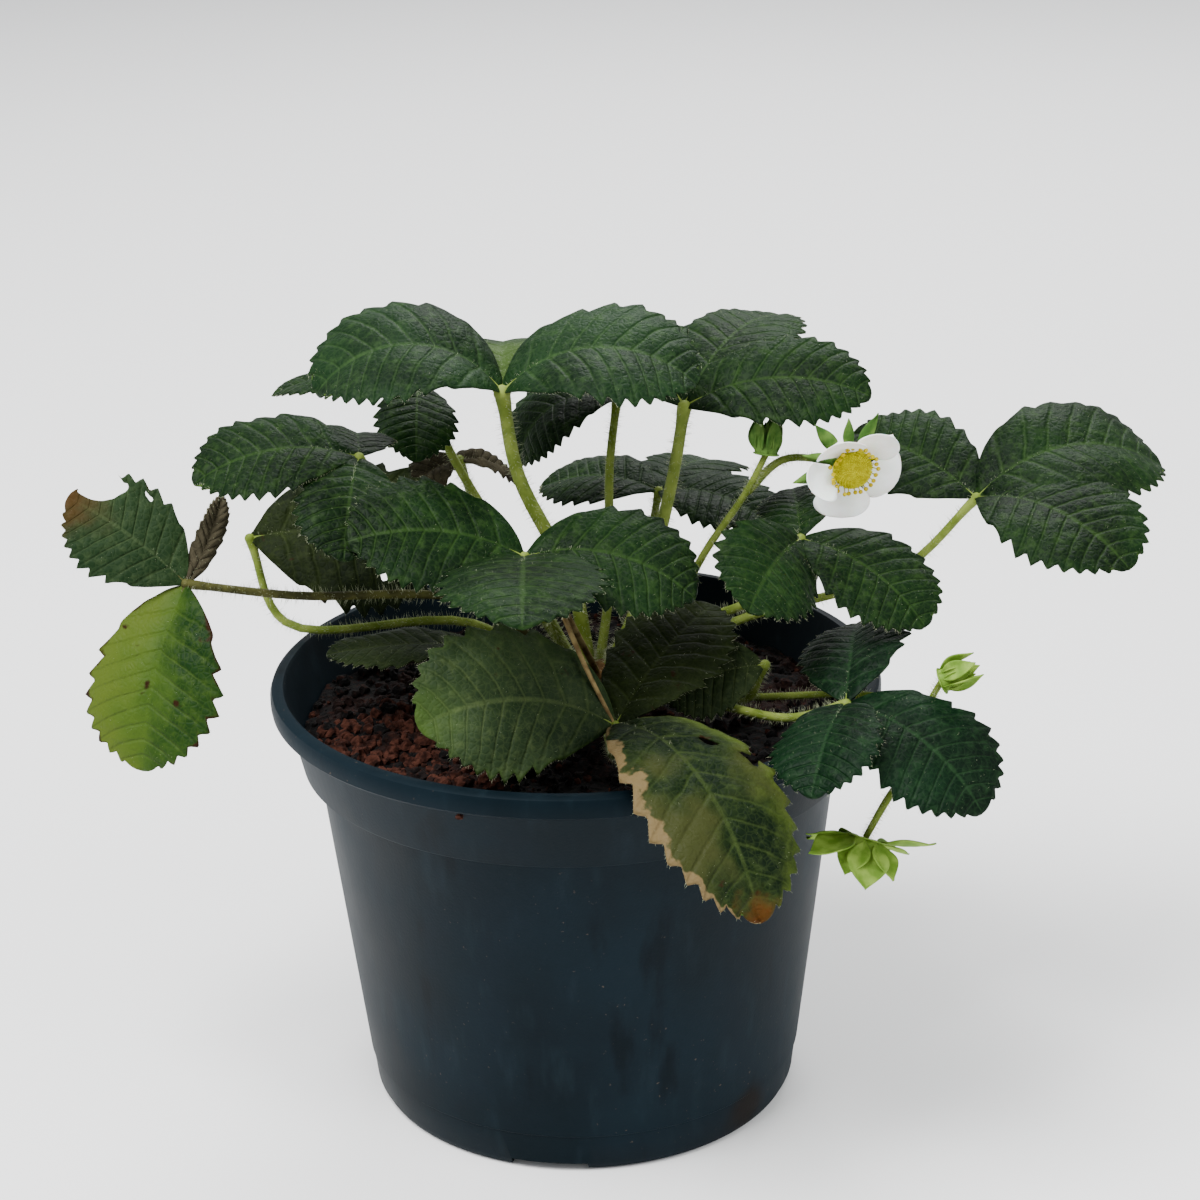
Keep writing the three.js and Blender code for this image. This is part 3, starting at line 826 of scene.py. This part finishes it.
print("rods have 12 sides")

# %% [markdown]
# ## Hairs
# The whole plant is softly hairy, and the hairs catch the light as a pale fuzz along every
# stalk and margin. Hair curves would be lost when the model is exported, so each hair is a
# slim three-sided spike. On stalks they come in tufts: one stretch of hairy rod is made once
# and copied along the route with a different turn each time.

# %% Hairs and tufts
TUFT = 3.0  # length of rod that one tuft covers
HAIR_R = 0.045


def at(place):
    """The move to a place, which is given in mm."""
    return Matrix.Translation(place * MM)


def turn_to(direction):
    """The turn that takes +Z to this direction."""
    return Vector((0, 0, 1)).rotation_difference(direction).to_matrix().to_4x4()


def add_hair(shape, root, direction, length, radius=HAIR_R, slot=0):
    place = at(root + direction * length / 2) @ turn_to(direction)
    cone = bmesh.ops.create_cone(
        shape, cap_ends=True, segments=3, radius1=radius * MM, radius2=0, depth=length * MM,
        matrix=place,
    )
    for face in faces_of(cone["verts"]):
        face.material_index = slot


def tuft_mesh(radius, length, count, draw):
    """Hairs around a short upright stretch of rod that starts at the origin."""
    shape = bmesh.new()
    for _ in range(count):
        out = toward(draw.uniform(0, 360), draw.uniform(-15, 30))
        root = Vector((out.x, out.y, 0)).normalized() * radius * 0.9
        root.z = draw.uniform(0, TUFT)
        add_hair(shape, root, out, length * draw.uniform(0.5, 1.2), slot=1)
    mesh = bpy.data.meshes.new("tuft")
    shape.to_mesh(mesh)
    shape.free()
    return mesh


def add_tufts(shape, route, radii, per_mm, length, seed):
    draw = random.Random(seed)
    model = tuft_mesh(sum(radii) / len(radii), length, round(per_mm * TUFT), draw)
    for here, there in zip(route, route[1:]):
        turn = turn_to((there - here).normalized())
        count = max(1, round((there - here).length / TUFT))
        for k in range(count):
            copy = model.copy()
            spin = Matrix.Rotation(draw.uniform(0, 2 * math.pi), 4, "Z")
            copy.transform(at(here.lerp(there, k / count)) @ turn @ spin)
            shape.from_mesh(copy)
            bpy.data.meshes.remove(copy)
    bpy.data.meshes.remove(model)


print("a tuft covers", TUFT, "mm of rod")

# %% [markdown]
# ## Leaves
# Each leaf is one sheet of three blades. A living plant is never even: here are the leaflets
# that are worn, with the finish, holes and puckering that each has, and those whose green is
# painted with light and shade: lighter on the crest, partly as painted light, and darker on the
# low right leaf, as painted shade. The rest take the usual green.

# %% Leaf blades
STEPS = (90, 30)  # faces along and across a leaflet
PUCKERED = 0.8  # relief of an old leaflet, in mm
LEAFLET_FORM = {"fold": 10, "cup": 0.25, "foot": 1.1}
DEAD = {"top": DRY, "relief": PUCKERED, "wave": 5}
WORN_LIT_SHADED = {
    # The crest's leaflets take the lighter green: partly young, partly painted light and sheen.
    ("crest", "left"): {"top": LIT_CREST_TOP},
    ("crest", "middle"): {"top": LIT_YOUNG_TOP},
    ("crest", "right"): {"top": LIT_CREST_TOP},
    ("left_old", "middle"): {"top": OLD_TOP, "relief": PUCKERED, "holes": [(0.62, -0.5, 0.022)]},
    ("left_low", "middle"): {"top": GREY_TOP},
    ("left_trail", "left"): DEAD,
    ("left_trail", "middle"): {"top": YELLOWING_TOP},
    ("left_trail", "right"): {
        "top": TORN_TOP, "holes": [(0.8, -0.8, 0.2), (0.42, -0.8, 0.03)],
    },
    ("front_low", "left"): {"top": OLD_TOP},
    ("front_low", "middle"): {
        "top": MOTTLED_TOP, "relief": 0.6,
        "holes": [(0.3, 0.5, 0.03), (0.36, 0.78, 0.03), (0.34, 0.97, 0.035)],
    },
    ("front_low", "right"): {"top": OLIVE_TOP},
    ("middle_low", "middle"): {"top": GREY_TOP},
    # The low right leaf takes the darker green, as painted shade.
    **{("right_low", side): {"top": SHADED_BLUISH_TOP} for side in SIDES},
    **{("withered", side): DEAD for side in SIDES},
}


def leaf_hub(leaf):
    hub = CROWN + toward(leaf["bearing"], 0) * leaf["reach"]
    hub.z = leaf["height"]
    return hub


def leaflet_blades(leaf):
    """The settings of each leaflet that the leaf still has, by side."""
    blades = {}
    for side, usual in SIDES.items():
        if side in leaf and leaf[side] is None:
            continue
        own = {**usual, **HABITS[leaf["habit"]], "slim": 1, **leaf.get(side, {})}
        long = LEAFLET * leaf["size"] * own["size"]
        blades[side] = {
            **own, **LEAFLET_FORM, "base": leaf_hub(leaf),
            "heading": leaf["faces"] + own["turn"],
            "long": long, "wide": long * WIDTH_TO_LENGTH * own["slim"],
            "wave": WORN_LIT_SHADED.get((leaf["name"], side), {}).get("wave", WAVE),
        }
    return blades


def make_leaf(leaf):
    """The blades of one leaf. It gives back the places for their hairs."""
    shape = bmesh.new()
    finishes, rim, upper = [], [], []
    for i, (side, blade) in enumerate(leaflet_blades(leaf).items()):
        worn_lit_shaded = WORN_LIT_SHADED.get((leaf["name"], side), {})
        top = worn_lit_shaded.get("top", LEAF_TOP)
        finishes += [top, DRY if top is DRY else LEAF_UNDER]
        more_rim, more_upper = add_blade(
            shape, blade, STEPS, relief=worn_lit_shaded.get("relief", RELIEF),
            holes=worn_lit_shaded.get("holes", ()), slot=2 * i)
        rim += more_rim
        upper += more_upper
    name = leaf["name"]
    dress(f"{name}_blades", shape, finishes, f"{name}_leaf", LEAF_THICK)
    return rim, upper


leaf_hairs = {leaf["name"]: make_leaf(leaf) for leaf in LEAVES}
print(len(WORN_LIT_SHADED), "worn leaflets")

# %% [markdown]
# ## Hairs of the leaves
# Hairs stand out from every tooth and lie forward over the upper face. The blades gave back
# their own margins and faces above, so each hair is rooted on the tissue that was made.


# %% Leaf hairs
MARGIN_HAIR_R, UPPER_HAIR_R = 0.035, 0.028
SPARSE = 24  # one point in so many of the upper face has a hair


def make_fringe(name, rim, upper):
    draw = random.Random(name)
    shape = bmesh.new()
    for root, out in rim:
        lean = (out + Vector([draw.uniform(-0.5, 0.5) for _ in range(3)])).normalized()
        add_hair(shape, root - out * 0.1, lean, draw.uniform(0.5, 1.2), MARGIN_HAIR_R)
    for root, up in draw.sample(upper, len(upper) // SPARSE):
        lean = (up + Vector([draw.uniform(-0.9, 0.9) for _ in range(3)])).normalized()
        add_hair(shape, root, lean, draw.uniform(0.5, 1.0), UPPER_HAIR_R)
    piece = dress(f"{name}_fringe", shape, [HAIR])
    return len(piece.data.polygons)


faces = sum(make_fringe(name, *places) for name, places in leaf_hairs.items())
print("leaf hairs:", faces, "faces")

# %% [markdown]
# ## Stalks
# A leaf stalk leaves the woody crown square to it, arches out and arrives under the hub. Each
# leaflet has a raised rib below, which is the stalk going on into the blade: a thin rod, so
# that the leaf looks right from underneath too. The ribs meet in the hub, a small swollen
# joint.


# %% Leaf stalks
STALK_HAIRS, RIB_HAIRS = (9, 2.0), (5, 1.1)  # how many there are to a mm, and how long


def crown_point(bearing, polar):
    return CROWN + toward(bearing, 90 - polar) * (CROWN_R + GAP)


def stalk_route(leaf):
    hub = leaf_hub(leaf)
    out = toward(leaf["bearing"], 90 - leaf["polar"])
    arrival = toward(leaf["bearing"], leaf.get("arrives", 60))
    start = crown_point(leaf["bearing"], leaf["polar"])
    end = hub - arrival * (HUB_R + leaf.get("stalk", STALK_R) - STALK_R + GAP)
    reach = (end - start).length
    return [start - out, start, start + out * 0.3 * reach, end - arrival * 0.25 * reach, hub]


def rib_point(blade, s, size):
    """A point of the rib, which rises out of the hub and then keeps under the blade."""
    sunk = min(0.9, 0.3 + 4 * s)
    return midrib_point(blade, s) - blade_axes(blade, s)[2] * size * sunk


def make_stalk(leaf):
    thick = leaf.get("stalk", STALK_R)
    route = spline(stalk_route(leaf))
    radii = taper(len(route), thick * 1.1, thick * 0.85)
    radii[-2] *= 1.15
    radii[-1] *= 1.3
    shape = bmesh.new()
    shape.from_mesh(rod(route, radii))
    add_tufts(shape, route, radii, *STALK_HAIRS, leaf["name"])
    bmesh.ops.create_uvsphere(
        shape, u_segments=16, v_segments=10, radius=thick * 1.1 * MM, matrix=at(leaf_hub(leaf)))
    for blade in leaflet_blades(leaf).values():
        sizes = taper(10, thick * 0.6, 0.2)
        rib = [rib_point(blade, k / 12, size) for k, size in enumerate(sizes)]
        shape.from_mesh(rod(rib, sizes, 8))
        add_tufts(shape, rib[:5], sizes[:5], *RIB_HAIRS, leaf["name"])
    smooth(shape)
    name = leaf["name"]
    green = OLD_STALK if name == "left_trail" else STALK
    dress(f"{name}_stem", shape, [green, HAIR], f"{name}_stalk")


for leaf in LEAVES:
    make_stalk(leaf)
print(len(LEAVES), "stalks with hubs, ribs and hairs")

# %% [markdown]
# ## A dead stalk
# Old leaves dry up and leave their thin stalks behind. One leans out of the crown onto the
# hub of the low front leaf. It is the same rod as the others, only thinner, bent through a few
# given points and without hairs.


# %% Dead stalk
def make_dead_stalk():
    front_low = next(leaf for leaf in LEAVES if leaf["name"] == "front_low")
    hub = leaf_hub(front_low)
    bends = [crown_point(275, 25), Vector((-4, -30, 148)), Vector((2, -42, 136)), hub]
    route = spline(bends, 10)
    piece = add_object("dead_stalk", rod(route, taper(len(route), 0.9, 0.5)))
    piece.data.shade_smooth()
    paint(piece, DRY_STALK)
    hand_in(piece)


make_dead_stalk()
print("one dead stalk")

# %% [markdown]
# ## Pot
# A nursery pot is moulded in one thin wall: a rolled lip, a stepped band below it and a wall
# that tapers to its foot. Its section is drawn as a few points and spun round, which keeps
# every ring true. The softly rounded edges of the lip and foot are extra points of the section.

# %% Pot section
RIM_R, POT_H, LIP_H = 80, 117, 6
BAND_BOTTOM, BAND_R = 95, 72.5
WALL_TOP_R, FOOT_R, WALL = 68.5, 57.5, 1.8
FLOOR, RECESS, FOOT_RING, BOSS_R = 3, 2.5, 7, 16
POT_STEPS = 144


def pot_section():
    """Points of the wall, as radius and height: up the outside, over the lip, down inside."""
    return [
        (0, 0), (BOSS_R, 0), (BOSS_R, RECESS), (FOOT_R - FOOT_RING, RECESS),
        (FOOT_R - FOOT_RING, 0), (FOOT_R - 3, 0), (FOOT_R - 0.9, 0.7), (FOOT_R, 2.4),
        (FOOT_R + 1.0, 11), (FOOT_R + 1.4, 11.4), (WALL_TOP_R, BAND_BOTTOM - 0.6),
        (WALL_TOP_R + 0.4, BAND_BOTTOM - 0.1), (BAND_R - 0.6, BAND_BOTTOM),
        (BAND_R, BAND_BOTTOM + 0.6), (RIM_R - 4.2, POT_H - LIP_H - 0.8),
        (RIM_R - 3.6, POT_H - LIP_H - 0.2), (RIM_R - 1, POT_H - LIP_H),
        (RIM_R - 0.2, POT_H - LIP_H + 0.8), (RIM_R, POT_H - LIP_H + 2),
        (RIM_R, POT_H - 2), (RIM_R - 0.5, POT_H - 0.7), (RIM_R - 1.6, POT_H),
        (RIM_R - 3.4, POT_H), (RIM_R - 4.2, POT_H - 0.9),
        (BAND_R - WALL, BAND_BOTTOM + WALL), (WALL_TOP_R - WALL, BAND_BOTTOM - WALL),
        (FOOT_R - WALL, RECESS + FLOOR), (0, RECESS + FLOOR),
    ]


def spin_section(section, steps):
    shape = bmesh.new()
    verts = [shape.verts.new((r * MM, 0, z * MM)) for r, z in section]
    edges = [shape.edges.new(pair) for pair in zip(verts, verts[1:])]
    bmesh.ops.spin(
        shape, geom=verts + edges, axis=(0, 0, 1), cent=(0, 0, 0), angle=2 * math.pi,
        steps=steps, use_merge=True,
    )
    bmesh.ops.remove_doubles(shape, verts=shape.verts, dist=0.01 * MM)
    bmesh.ops.recalc_face_normals(shape, faces=shape.faces)
    return shape


print("pot section:", len(pot_section()), "points")

# %% [markdown]
# ## Notches and drain holes
# Water leaves through holes in the raised floor and notches in the foot ring. A Boolean cuts
# them all at once with a second object that is thrown away, and the result is kept as the
# pot's own mesh.

# %% Pot
NOTCHES, NOTCH_W, NOTCH_START = 4, 20, -100
DRAINS, DRAIN_R, DRAIN_RING = 6, 4, 34


def cut(piece, tool_shape, name):
    tool = to_object(name, tool_shape)
    boolean = piece.modifiers.new(name, "BOOLEAN")
    boolean.object = tool
    boolean.solver = "EXACT"
    bpy.context.view_layer.update()
    finished = piece.evaluated_get(bpy.context.evaluated_depsgraph_get())
    result = bpy.data.meshes.new_from_object(finished)
    piece.modifiers.remove(boolean)
    piece.data = result
    bpy.data.objects.remove(tool)


def make_pot():
    pot = to_object("nursery_pot", spin_section(pot_section(), POT_STEPS))
    cutters = bmesh.new()
    for i in range(NOTCHES):
        turn = Matrix.Rotation(math.radians(NOTCH_START + 360 * i / NOTCHES), 4, "Z")
        place = at(Vector((FOOT_R - FOOT_RING / 2, 0, 0)))
        size = Matrix.Diagonal((3 * FOOT_RING, NOTCH_W, 2 * RECESS, 1))
        bmesh.ops.create_cube(cutters, size=MM, matrix=turn @ place @ size)
    for i in range(DRAINS):
        turn = Matrix.Rotation(2 * math.pi * i / DRAINS, 4, "Z")
        place = at(Vector((DRAIN_RING, 0, FLOOR)))
        bmesh.ops.create_cone(
            cutters, cap_ends=True, segments=24, radius1=DRAIN_R * MM, radius2=DRAIN_R * MM,
            depth=4 * FLOOR * MM, matrix=turn @ place,
        )
    cut(pot, cutters, "drain_cutters")
    pot.data.shade_smooth()
    pot.data.set_sharp_from_angle(angle=math.radians(35))
    paint(pot, POT_PLASTIC)
    hand_in(pot, "pot")
    print("pot:", len(pot.data.polygons), "faces")


make_pot()

# %% [markdown]
# ## Soil
# The ground is uneven: long swells, with crumbs on them. A square grid is rounded into a disc,
# which keeps its faces even right out to the wall, lifted by noise, and closed below with a
# skirt that follows the pot inside.

# %% Soil
SOIL_RIM = 71.8
SKIRT = [(SOIL_RIM, SOIL_TOP - 3), (WALL_TOP_R - WALL - 2 * GAP, BAND_BOTTOM - WALL),
         (FOOT_R - WALL - 2 * GAP, RECESS + FLOOR + GAP)]


def ground_height(x, y):
    """Height of the ground, in mm. It is a little lower at the wall."""
    swell = 1.3 * math.sin(x / 9 + 1) * math.cos(y / 11)
    crumbs = noise.fractal(Vector((x, y, 3)) * 0.14, 1.0, 2.0, 5)
    fall = 1.2 * (math.hypot(x, y) / SOIL_RIM) ** 4
    return SOIL_TOP - 0.6 + swell + 1.8 * crumbs - fall


def to_disc(point, radius):
    """Where a point of the square from -1 to 1 goes on a disc."""
    x = point.x * math.sqrt(1 - point.y ** 2 / 2) * radius
    y = point.y * math.sqrt(1 - point.x ** 2 / 2) * radius
    return x, y


def make_soil():
    shape = bmesh.new()
    bmesh.ops.create_grid(shape, x_segments=180, y_segments=180, size=1)
    for vert in shape.verts:
        x, y = to_disc(vert.co, SOIL_RIM)
        vert.co = Vector((x, y, ground_height(x, y))) * MM
    rim = [edge for edge in shape.edges if edge.is_boundary]
    for radius, height in SKIRT:
        skirt = bmesh.ops.extrude_edge_only(shape, edges=rim)["geom"]
        for vert in skirt:
            if isinstance(vert, bmesh.types.BMVert):
                flat = Vector((vert.co.x, vert.co.y, 0)).normalized() * radius
                vert.co = Vector((flat.x, flat.y, height)) * MM
        rim = [e for e in skirt if isinstance(e, bmesh.types.BMEdge) and e.is_boundary]
    bmesh.ops.contextual_create(shape, geom=rim)
    bmesh.ops.recalc_face_normals(shape, faces=shape.faces)
    smooth(shape)
    dress("potting_mix", shape, [SOIL], "soil")


make_soil()
print("soil, level with", SOIL_TOP, "mm")

# %% [markdown]
# ## Crumbs
# Potting mix holds lumps of all sizes. Each is a dented ball with a few dozen faces, since
# there are hundreds of them. Rusty ones lie mostly at the front left, where the mix was
# topped up, and dark ones everywhere.


# %% Crumbs
def add_crumb(shape, centre, size):
    ball = bmesh.ops.create_icosphere(shape, subdivisions=2 if size > 1.2 else 1, radius=size)
    for vert in ball["verts"]:
        dent = 1 + 0.55 * noise.noise(vert.co / size * 1.4 + centre)
        vert.co = (centre + vert.co * dent) * MM


def make_crumbs(name, count, spread, middle, sizes, finish):
    """Crumbs strewn on the ground about a middle."""
    draw = random.Random(name)
    shape = bmesh.new()
    while count:
        angle, far = draw.uniform(0, 2 * math.pi), spread * math.sqrt(draw.random())
        x, y = middle[0] + far * math.cos(angle), middle[1] + far * math.sin(angle)
        size = draw.uniform(*sizes) * draw.uniform(0.5, 1)
        if math.hypot(x, y) + size > SOIL_RIM:
            continue
        if math.hypot(x - CROWN.x, y - CROWN.y) < CROWN_R + size + 1:
            continue
        count -= 1
        add_crumb(shape, Vector((x, y, ground_height(x, y) + size * 0.2)), size)
    dress(name, shape, [finish])


def make_lip_crumb():
    """One crumb that fell on the band, under the lip."""
    shape = bmesh.new()
    add_crumb(shape, toward(-112, 0) * (RIM_R - 3.4) + Vector((0, 0, POT_H - LIP_H - 2)), 1.1)
    dress("lip_crumb", shape, [RUST])


make_crumbs("dark_crumbs", 1100, SOIL_RIM, (0, 0), (0.5, 2.6), SOIL)
make_crumbs("rusty_crumbs", 520, 30, (-42, -26), (0.6, 2.6), RUST)
make_crumbs("stray_rusty_crumbs", 200, SOIL_RIM, (0, 0), (0.4, 1.5), RUST)
make_lip_crumb()
print("three strewings of crumbs, and one crumb on the pot's band")

# %% [markdown]
# ## Crown
# The crown is the short woody stump where all the stalks meet, wrapped in papery brown
# sheaths left by old leaves. A ball is roughened with noise, and a ring of small untoothed
# blades stands up around it.


# %% Crown
SHEATHS = 22


def make_crown():
    shape = bmesh.new()
    bmesh.ops.create_uvsphere(shape, u_segments=48, v_segments=32, radius=CROWN_R)
    for vert in shape.verts:
        wood = noise.fractal(vert.co * 0.35, 1.0, 2.0, 4)
        vert.co = vert.co * (0.96 + 0.05 * wood)
        if vert.co.z < 0:
            vert.co.z *= 1.6
        vert.co = (vert.co + CROWN) * MM
    smooth(shape)
    dress("crown_stump", shape, [BARK], "crown")


def make_sheaths():
    draw = random.Random("sheaths")
    shape = bmesh.new()
    for _ in range(SHEATHS):
        heading = draw.uniform(0, 360)
        blade = {
            "base": CROWN + toward(heading, 10) * (CROWN_R - 0.8), "heading": heading,
            "rise": 78, "droop": draw.uniform(10, 40), "long": draw.uniform(9, 15), "wide": 6,
            "roll": draw.uniform(-15, 15), "fold": 0, "cup": -0.6, "foot": 1.5, "tip": POINTED,
        }
        add_blade(shape, blade, (8, 6), teeth=0, relief=0.1)
    dress("crown_sheaths", shape, [BARK], thick=SEPAL_THICK)


make_crown()
make_sheaths()
print("crown with its sheaths")

# %% [markdown]
# ## Places of the flower and fruit
# A truss is a stem that leaves the crown and runs through its points to a bud, with a branch
# from its fork to the calyx of a flower. The plant has two: one holds an open flower, the
# other a spent one whose young fruit has begun to swell. Their points are the frame's.

# %% Trusses
FLOWER_TRUSS = {
    "leaves": (30, 45), "stem": [(25, 5, 130), (35, 0, 150)], "fork": (45, 0, 165),
    "branch": [(55, 10, 170)], "bud": (50, 0, 175), "bud_facing": (60, 75),
    "calyx": (70, -10, 175), "facing": (-75, -10),
}
FRUIT_TRUSS = {
    "leaves": (-10, 70), "stem": [(40, -5, 110), (75, -30, 120)], "fork": (85, -40, 120),
    "branch": [(85, -50, 115), (75, -60, 105)], "bud": (90, -45, 130), "bud_facing": (-10, 25),
    "calyx": (70, -60, 95), "facing": (230, -60),
}


def aim(facing, place):
    """The placing of a bloom that was made facing +Z, in mm."""
    return at(place) @ turn_to(facing)


def bloom_placing(truss, distance):
    """Where a thing goes that faces as the truss's flower does, so far in front of its calyx."""
    facing = toward(*truss["facing"])
    return aim(facing, Vector(truss["calyx"]) + facing * distance)


def move_new(shape, before, placing):
    fresh = [v for v in shape.verts if v not in before]
    bmesh.ops.transform(shape, matrix=placing, verts=fresh)


print("two trusses")

# %% [markdown]
# ## Petals
# Five round white petals overlap a little around the eye. No two lie alike: on a flower that is
# a few days old some lie flat and some fold forward, so each has its own row in a short list.


# %% Petals
BLADE = 0.75  # thickness of the frame's blades
PETALS = 5
PETAL = 11  # length of a petal
PETAL_TURN = -8
PETAL_ROWS = [
    {"rise": 6, "droop": 12, "roll": 0, "wide": 14, "cup": 0.3},
    {"rise": 16, "droop": -16, "roll": 14, "wide": 13, "cup": -0.2, "tip": 0.7},
    {"rise": 30, "droop": -10, "roll": -16, "wide": 13, "cup": -0.3, "tip": 0.65},
    {"rise": 24, "droop": -20, "roll": 34, "wide": 11, "cup": -0.4},
    {"rise": 6, "droop": 6, "roll": 6, "wide": 15, "cup": 0.3, "tip": 0.4},
]


def add_ray(shape, heading, disc_r, placing, settings):
    """One petal or sepal of a ring, turned and moved to where the bloom is."""
    before = set(shape.verts)
    blade = {
        "base": toward(heading, 0) * (disc_r - 1), "heading": heading, "roll": 0,
        "fold": 0, "cup": 0.25, "foot": 1, "wave": 0.4, **settings,
    }
    add_blade(shape, blade, (18, 12), teeth=0, relief=0.12)
    move_new(shape, before, placing)


def make_petals():
    shape = bmesh.new()
    placing = bloom_placing(FLOWER_TRUSS, BLADE + GAP)
    for i, row in enumerate(PETAL_ROWS):
        settings = {"long": PETAL, "foot": 1.5, "wave": 2.4, "tip": 0.5, **row}
        add_ray(shape, PETAL_TURN + 360 * i / PETALS, 4.5, placing, settings)
    dress("flower_petals", shape, [PETAL_WHITE], "petals", PETAL_THICK)


make_petals()
print(PETALS, "petals")

# %% [markdown]
# ## Eye of the flower, and the young fruit
# The eye is a dome of fine styles ringed by stamens. Setting each bead one golden angle
# further round than the last packs them evenly, as the plant does. When the petals have
# fallen, the same dome swells into the fruit, and its beads become the seeds.

# %% Domes
GOLDEN_ANGLE = math.radians(137.5)
EYE_R = 7
FRUIT_R, FRUIT_H = 3.6, 6.4
STAMENS = 26
ANTHER_R = 0.6


def add_dome(shape, placing, radius, height, count, bead):
    """A domed base covered with small beads in a spiral."""
    before = set(shape.verts)
    base = bmesh.ops.create_uvsphere(shape, u_segments=32, v_segments=16, radius=1)
    for vert in base["verts"]:
        low = max(vert.co.z, -0.05)
        vert.co = Vector((vert.co.x * radius, vert.co.y * radius, low * height)) * MM
    for i in range(count):
        far = math.sqrt((i + 0.5) / count)
        turn = i * GOLDEN_ANGLE
        place = Vector((
            far * radius * math.cos(turn), far * radius * math.sin(turn),
            height * math.sqrt(max(0, 1 - far * far * 0.96)),
        ))
        bmesh.ops.create_icosphere(shape, subdivisions=1, radius=bead * MM, matrix=at(place))
    move_new(shape, before, placing)


def add_stamens(shape, placing):
    draw = random.Random("stamens")
    for i in range(STAMENS):
        turn = 2 * math.pi * i / STAMENS
        ring = EYE_R - 1.3 + draw.uniform(0, 1.0)
        tip = Vector((ring * math.cos(turn), ring * math.sin(turn), draw.uniform(1.4, 2.8)))
        foot = Vector((tip.x * 0.75, tip.y * 0.75, 0.3))
        thread = rod([foot, tip], [0.16, 0.12], 8)
        thread.transform(placing)
        shape.from_mesh(thread)
        bead = placing @ at(tip) @ Matrix.Diagonal((1, 1, 0.7, 1))
        ball = bmesh.ops.create_icosphere(
            shape, subdivisions=2, radius=ANTHER_R * MM, matrix=bead)
        for face in faces_of(ball["verts"]):
            face.material_index = 1


def make_eye():
    shape = bmesh.new()
    placing = bloom_placing(FLOWER_TRUSS, 2 * (BLADE + GAP))
    add_dome(shape, placing, EYE_R - 1.9, 4.4, 280, 0.3)
    add_stamens(shape, placing)
    smooth(shape)
    dress("flower_centre", shape, [EYE, ANTHER], "eye")


def make_fruit():
    shape = bmesh.new()
    add_dome(shape, bloom_placing(FRUIT_TRUSS, BLADE / 2 + GAP), FRUIT_R, FRUIT_H, 130, 0.3)
    smooth(shape)
    dress("green_fruit", shape, [FRUIT], "young_fruit")


make_eye()
make_fruit()
print("an eye with", STAMENS, "stamens, and a young fruit")

# %% [markdown]
# ## Stems, sepals and buds
# Each truss stem is a hairy rod like the stalks. A calyx has two rings of pointed sepals, five
# broad ones and five narrow ones between them. On a bud they close over it, behind an open
# flower they lie flat, and once the petals fall they hang like a skirt about the young fruit.
# Each row gives the angle at which its ten sepals rise.

# %% Stems of the trusses
TRUSS_R = 1.1
TRUSS_HAIRS = 7, 1.6
SEPAL, SEPAL_W = 9, 5
CALYX_R = 5
BUD_R, BUD_H = 2.9, 6.5
FLAT = (-8, -2, -10, 0, -6, -2, -9, -4, -8, -3)
HANGING = (75, 80, 45, 30, 30, 25, 20, 15, -5, 60)
CLOSED = (82, 76, 88, 80, 74, 86, 78, 90, 80, 84)
FLOWER_CALYX = {"size": 1.2, "broad": 0.6, "rises": FLAT, "droop": 10, "ring": CALYX_R}
SPENT_CALYX = {"size": 1.5, "broad": 1.4, "rises": HANGING, "droop": 25, "ring": CALYX_R}
BUD_CALYX = {"size": 1.1, "broad": 0.85, "rises": CLOSED, "droop": -16, "ring": 3.4}


def add_calyx(shape, placing, size, broad, rises, droop, ring):
    draw = random.Random(f"calyx {size}")
    for i, rise in enumerate(rises):
        scale = size * (0.8 if i % 2 else 1)
        settings = {
            "long": SEPAL * scale, "wide": SEPAL_W * scale * broad, "droop": droop,
            "rise": rise, "tip": POINTED, "roll": draw.uniform(-18, 18), "wave": 1.2,
        }
        add_ray(shape, 180 * i / PETALS, ring, placing, settings)
    before = set(shape.verts)
    bmesh.ops.create_grid(shape, x_segments=8, y_segments=8, size=1)
    for vert in set(shape.verts) - before:
        vert.co.x, vert.co.y = to_disc(vert.co, ring * MM)
    move_new(shape, before, placing)


def make_truss(name, truss, calyx, tint):
    start = crown_point(*truss["leaves"])
    fork, bud = Vector(truss["fork"]), Vector(truss["bud"])
    facing = toward(*truss["facing"])
    neck = Vector(truss["calyx"]) - facing * GAP
    main = [start - toward(truss["leaves"][0], 90 - truss["leaves"][1]), start]
    main += [Vector(p) for p in truss["stem"]] + [fork, bud]
    shape = bmesh.new()
    for points in (main, [fork, *[Vector(p) for p in truss["branch"]], neck]):
        route = spline(points)
        radii = taper(len(route), TRUSS_R * 1.1, TRUSS_R * 0.75)
        shape.from_mesh(rod(route, radii))
        add_tufts(shape, route, radii, *TRUSS_HAIRS, name)
    smooth(shape)
    dress(f"{name}_stems", shape, [STALK, HAIR], name)
    bud_placing = aim(toward(*truss["bud_facing"]), bud)
    green = bmesh.new()
    add_calyx(green, bloom_placing(truss, 0), **calyx)
    add_calyx(green, bud_placing, **BUD_CALYX)
    dress(f"{name}_sepals", green, [tint], thick=SEPAL_THICK)
    ball = bmesh.new()
    add_dome(ball, bud_placing, BUD_R, BUD_H, 0, 0)
    smooth(ball)
    dress(f"{name}_bud", ball, [tint])


make_truss("flower_truss", FLOWER_TRUSS, FLOWER_CALYX, DEEP_CALYX)
make_truss("fruit_truss", FRUIT_TRUSS, SPENT_CALYX, CALYX)
print("two trusses with sepals and buds")
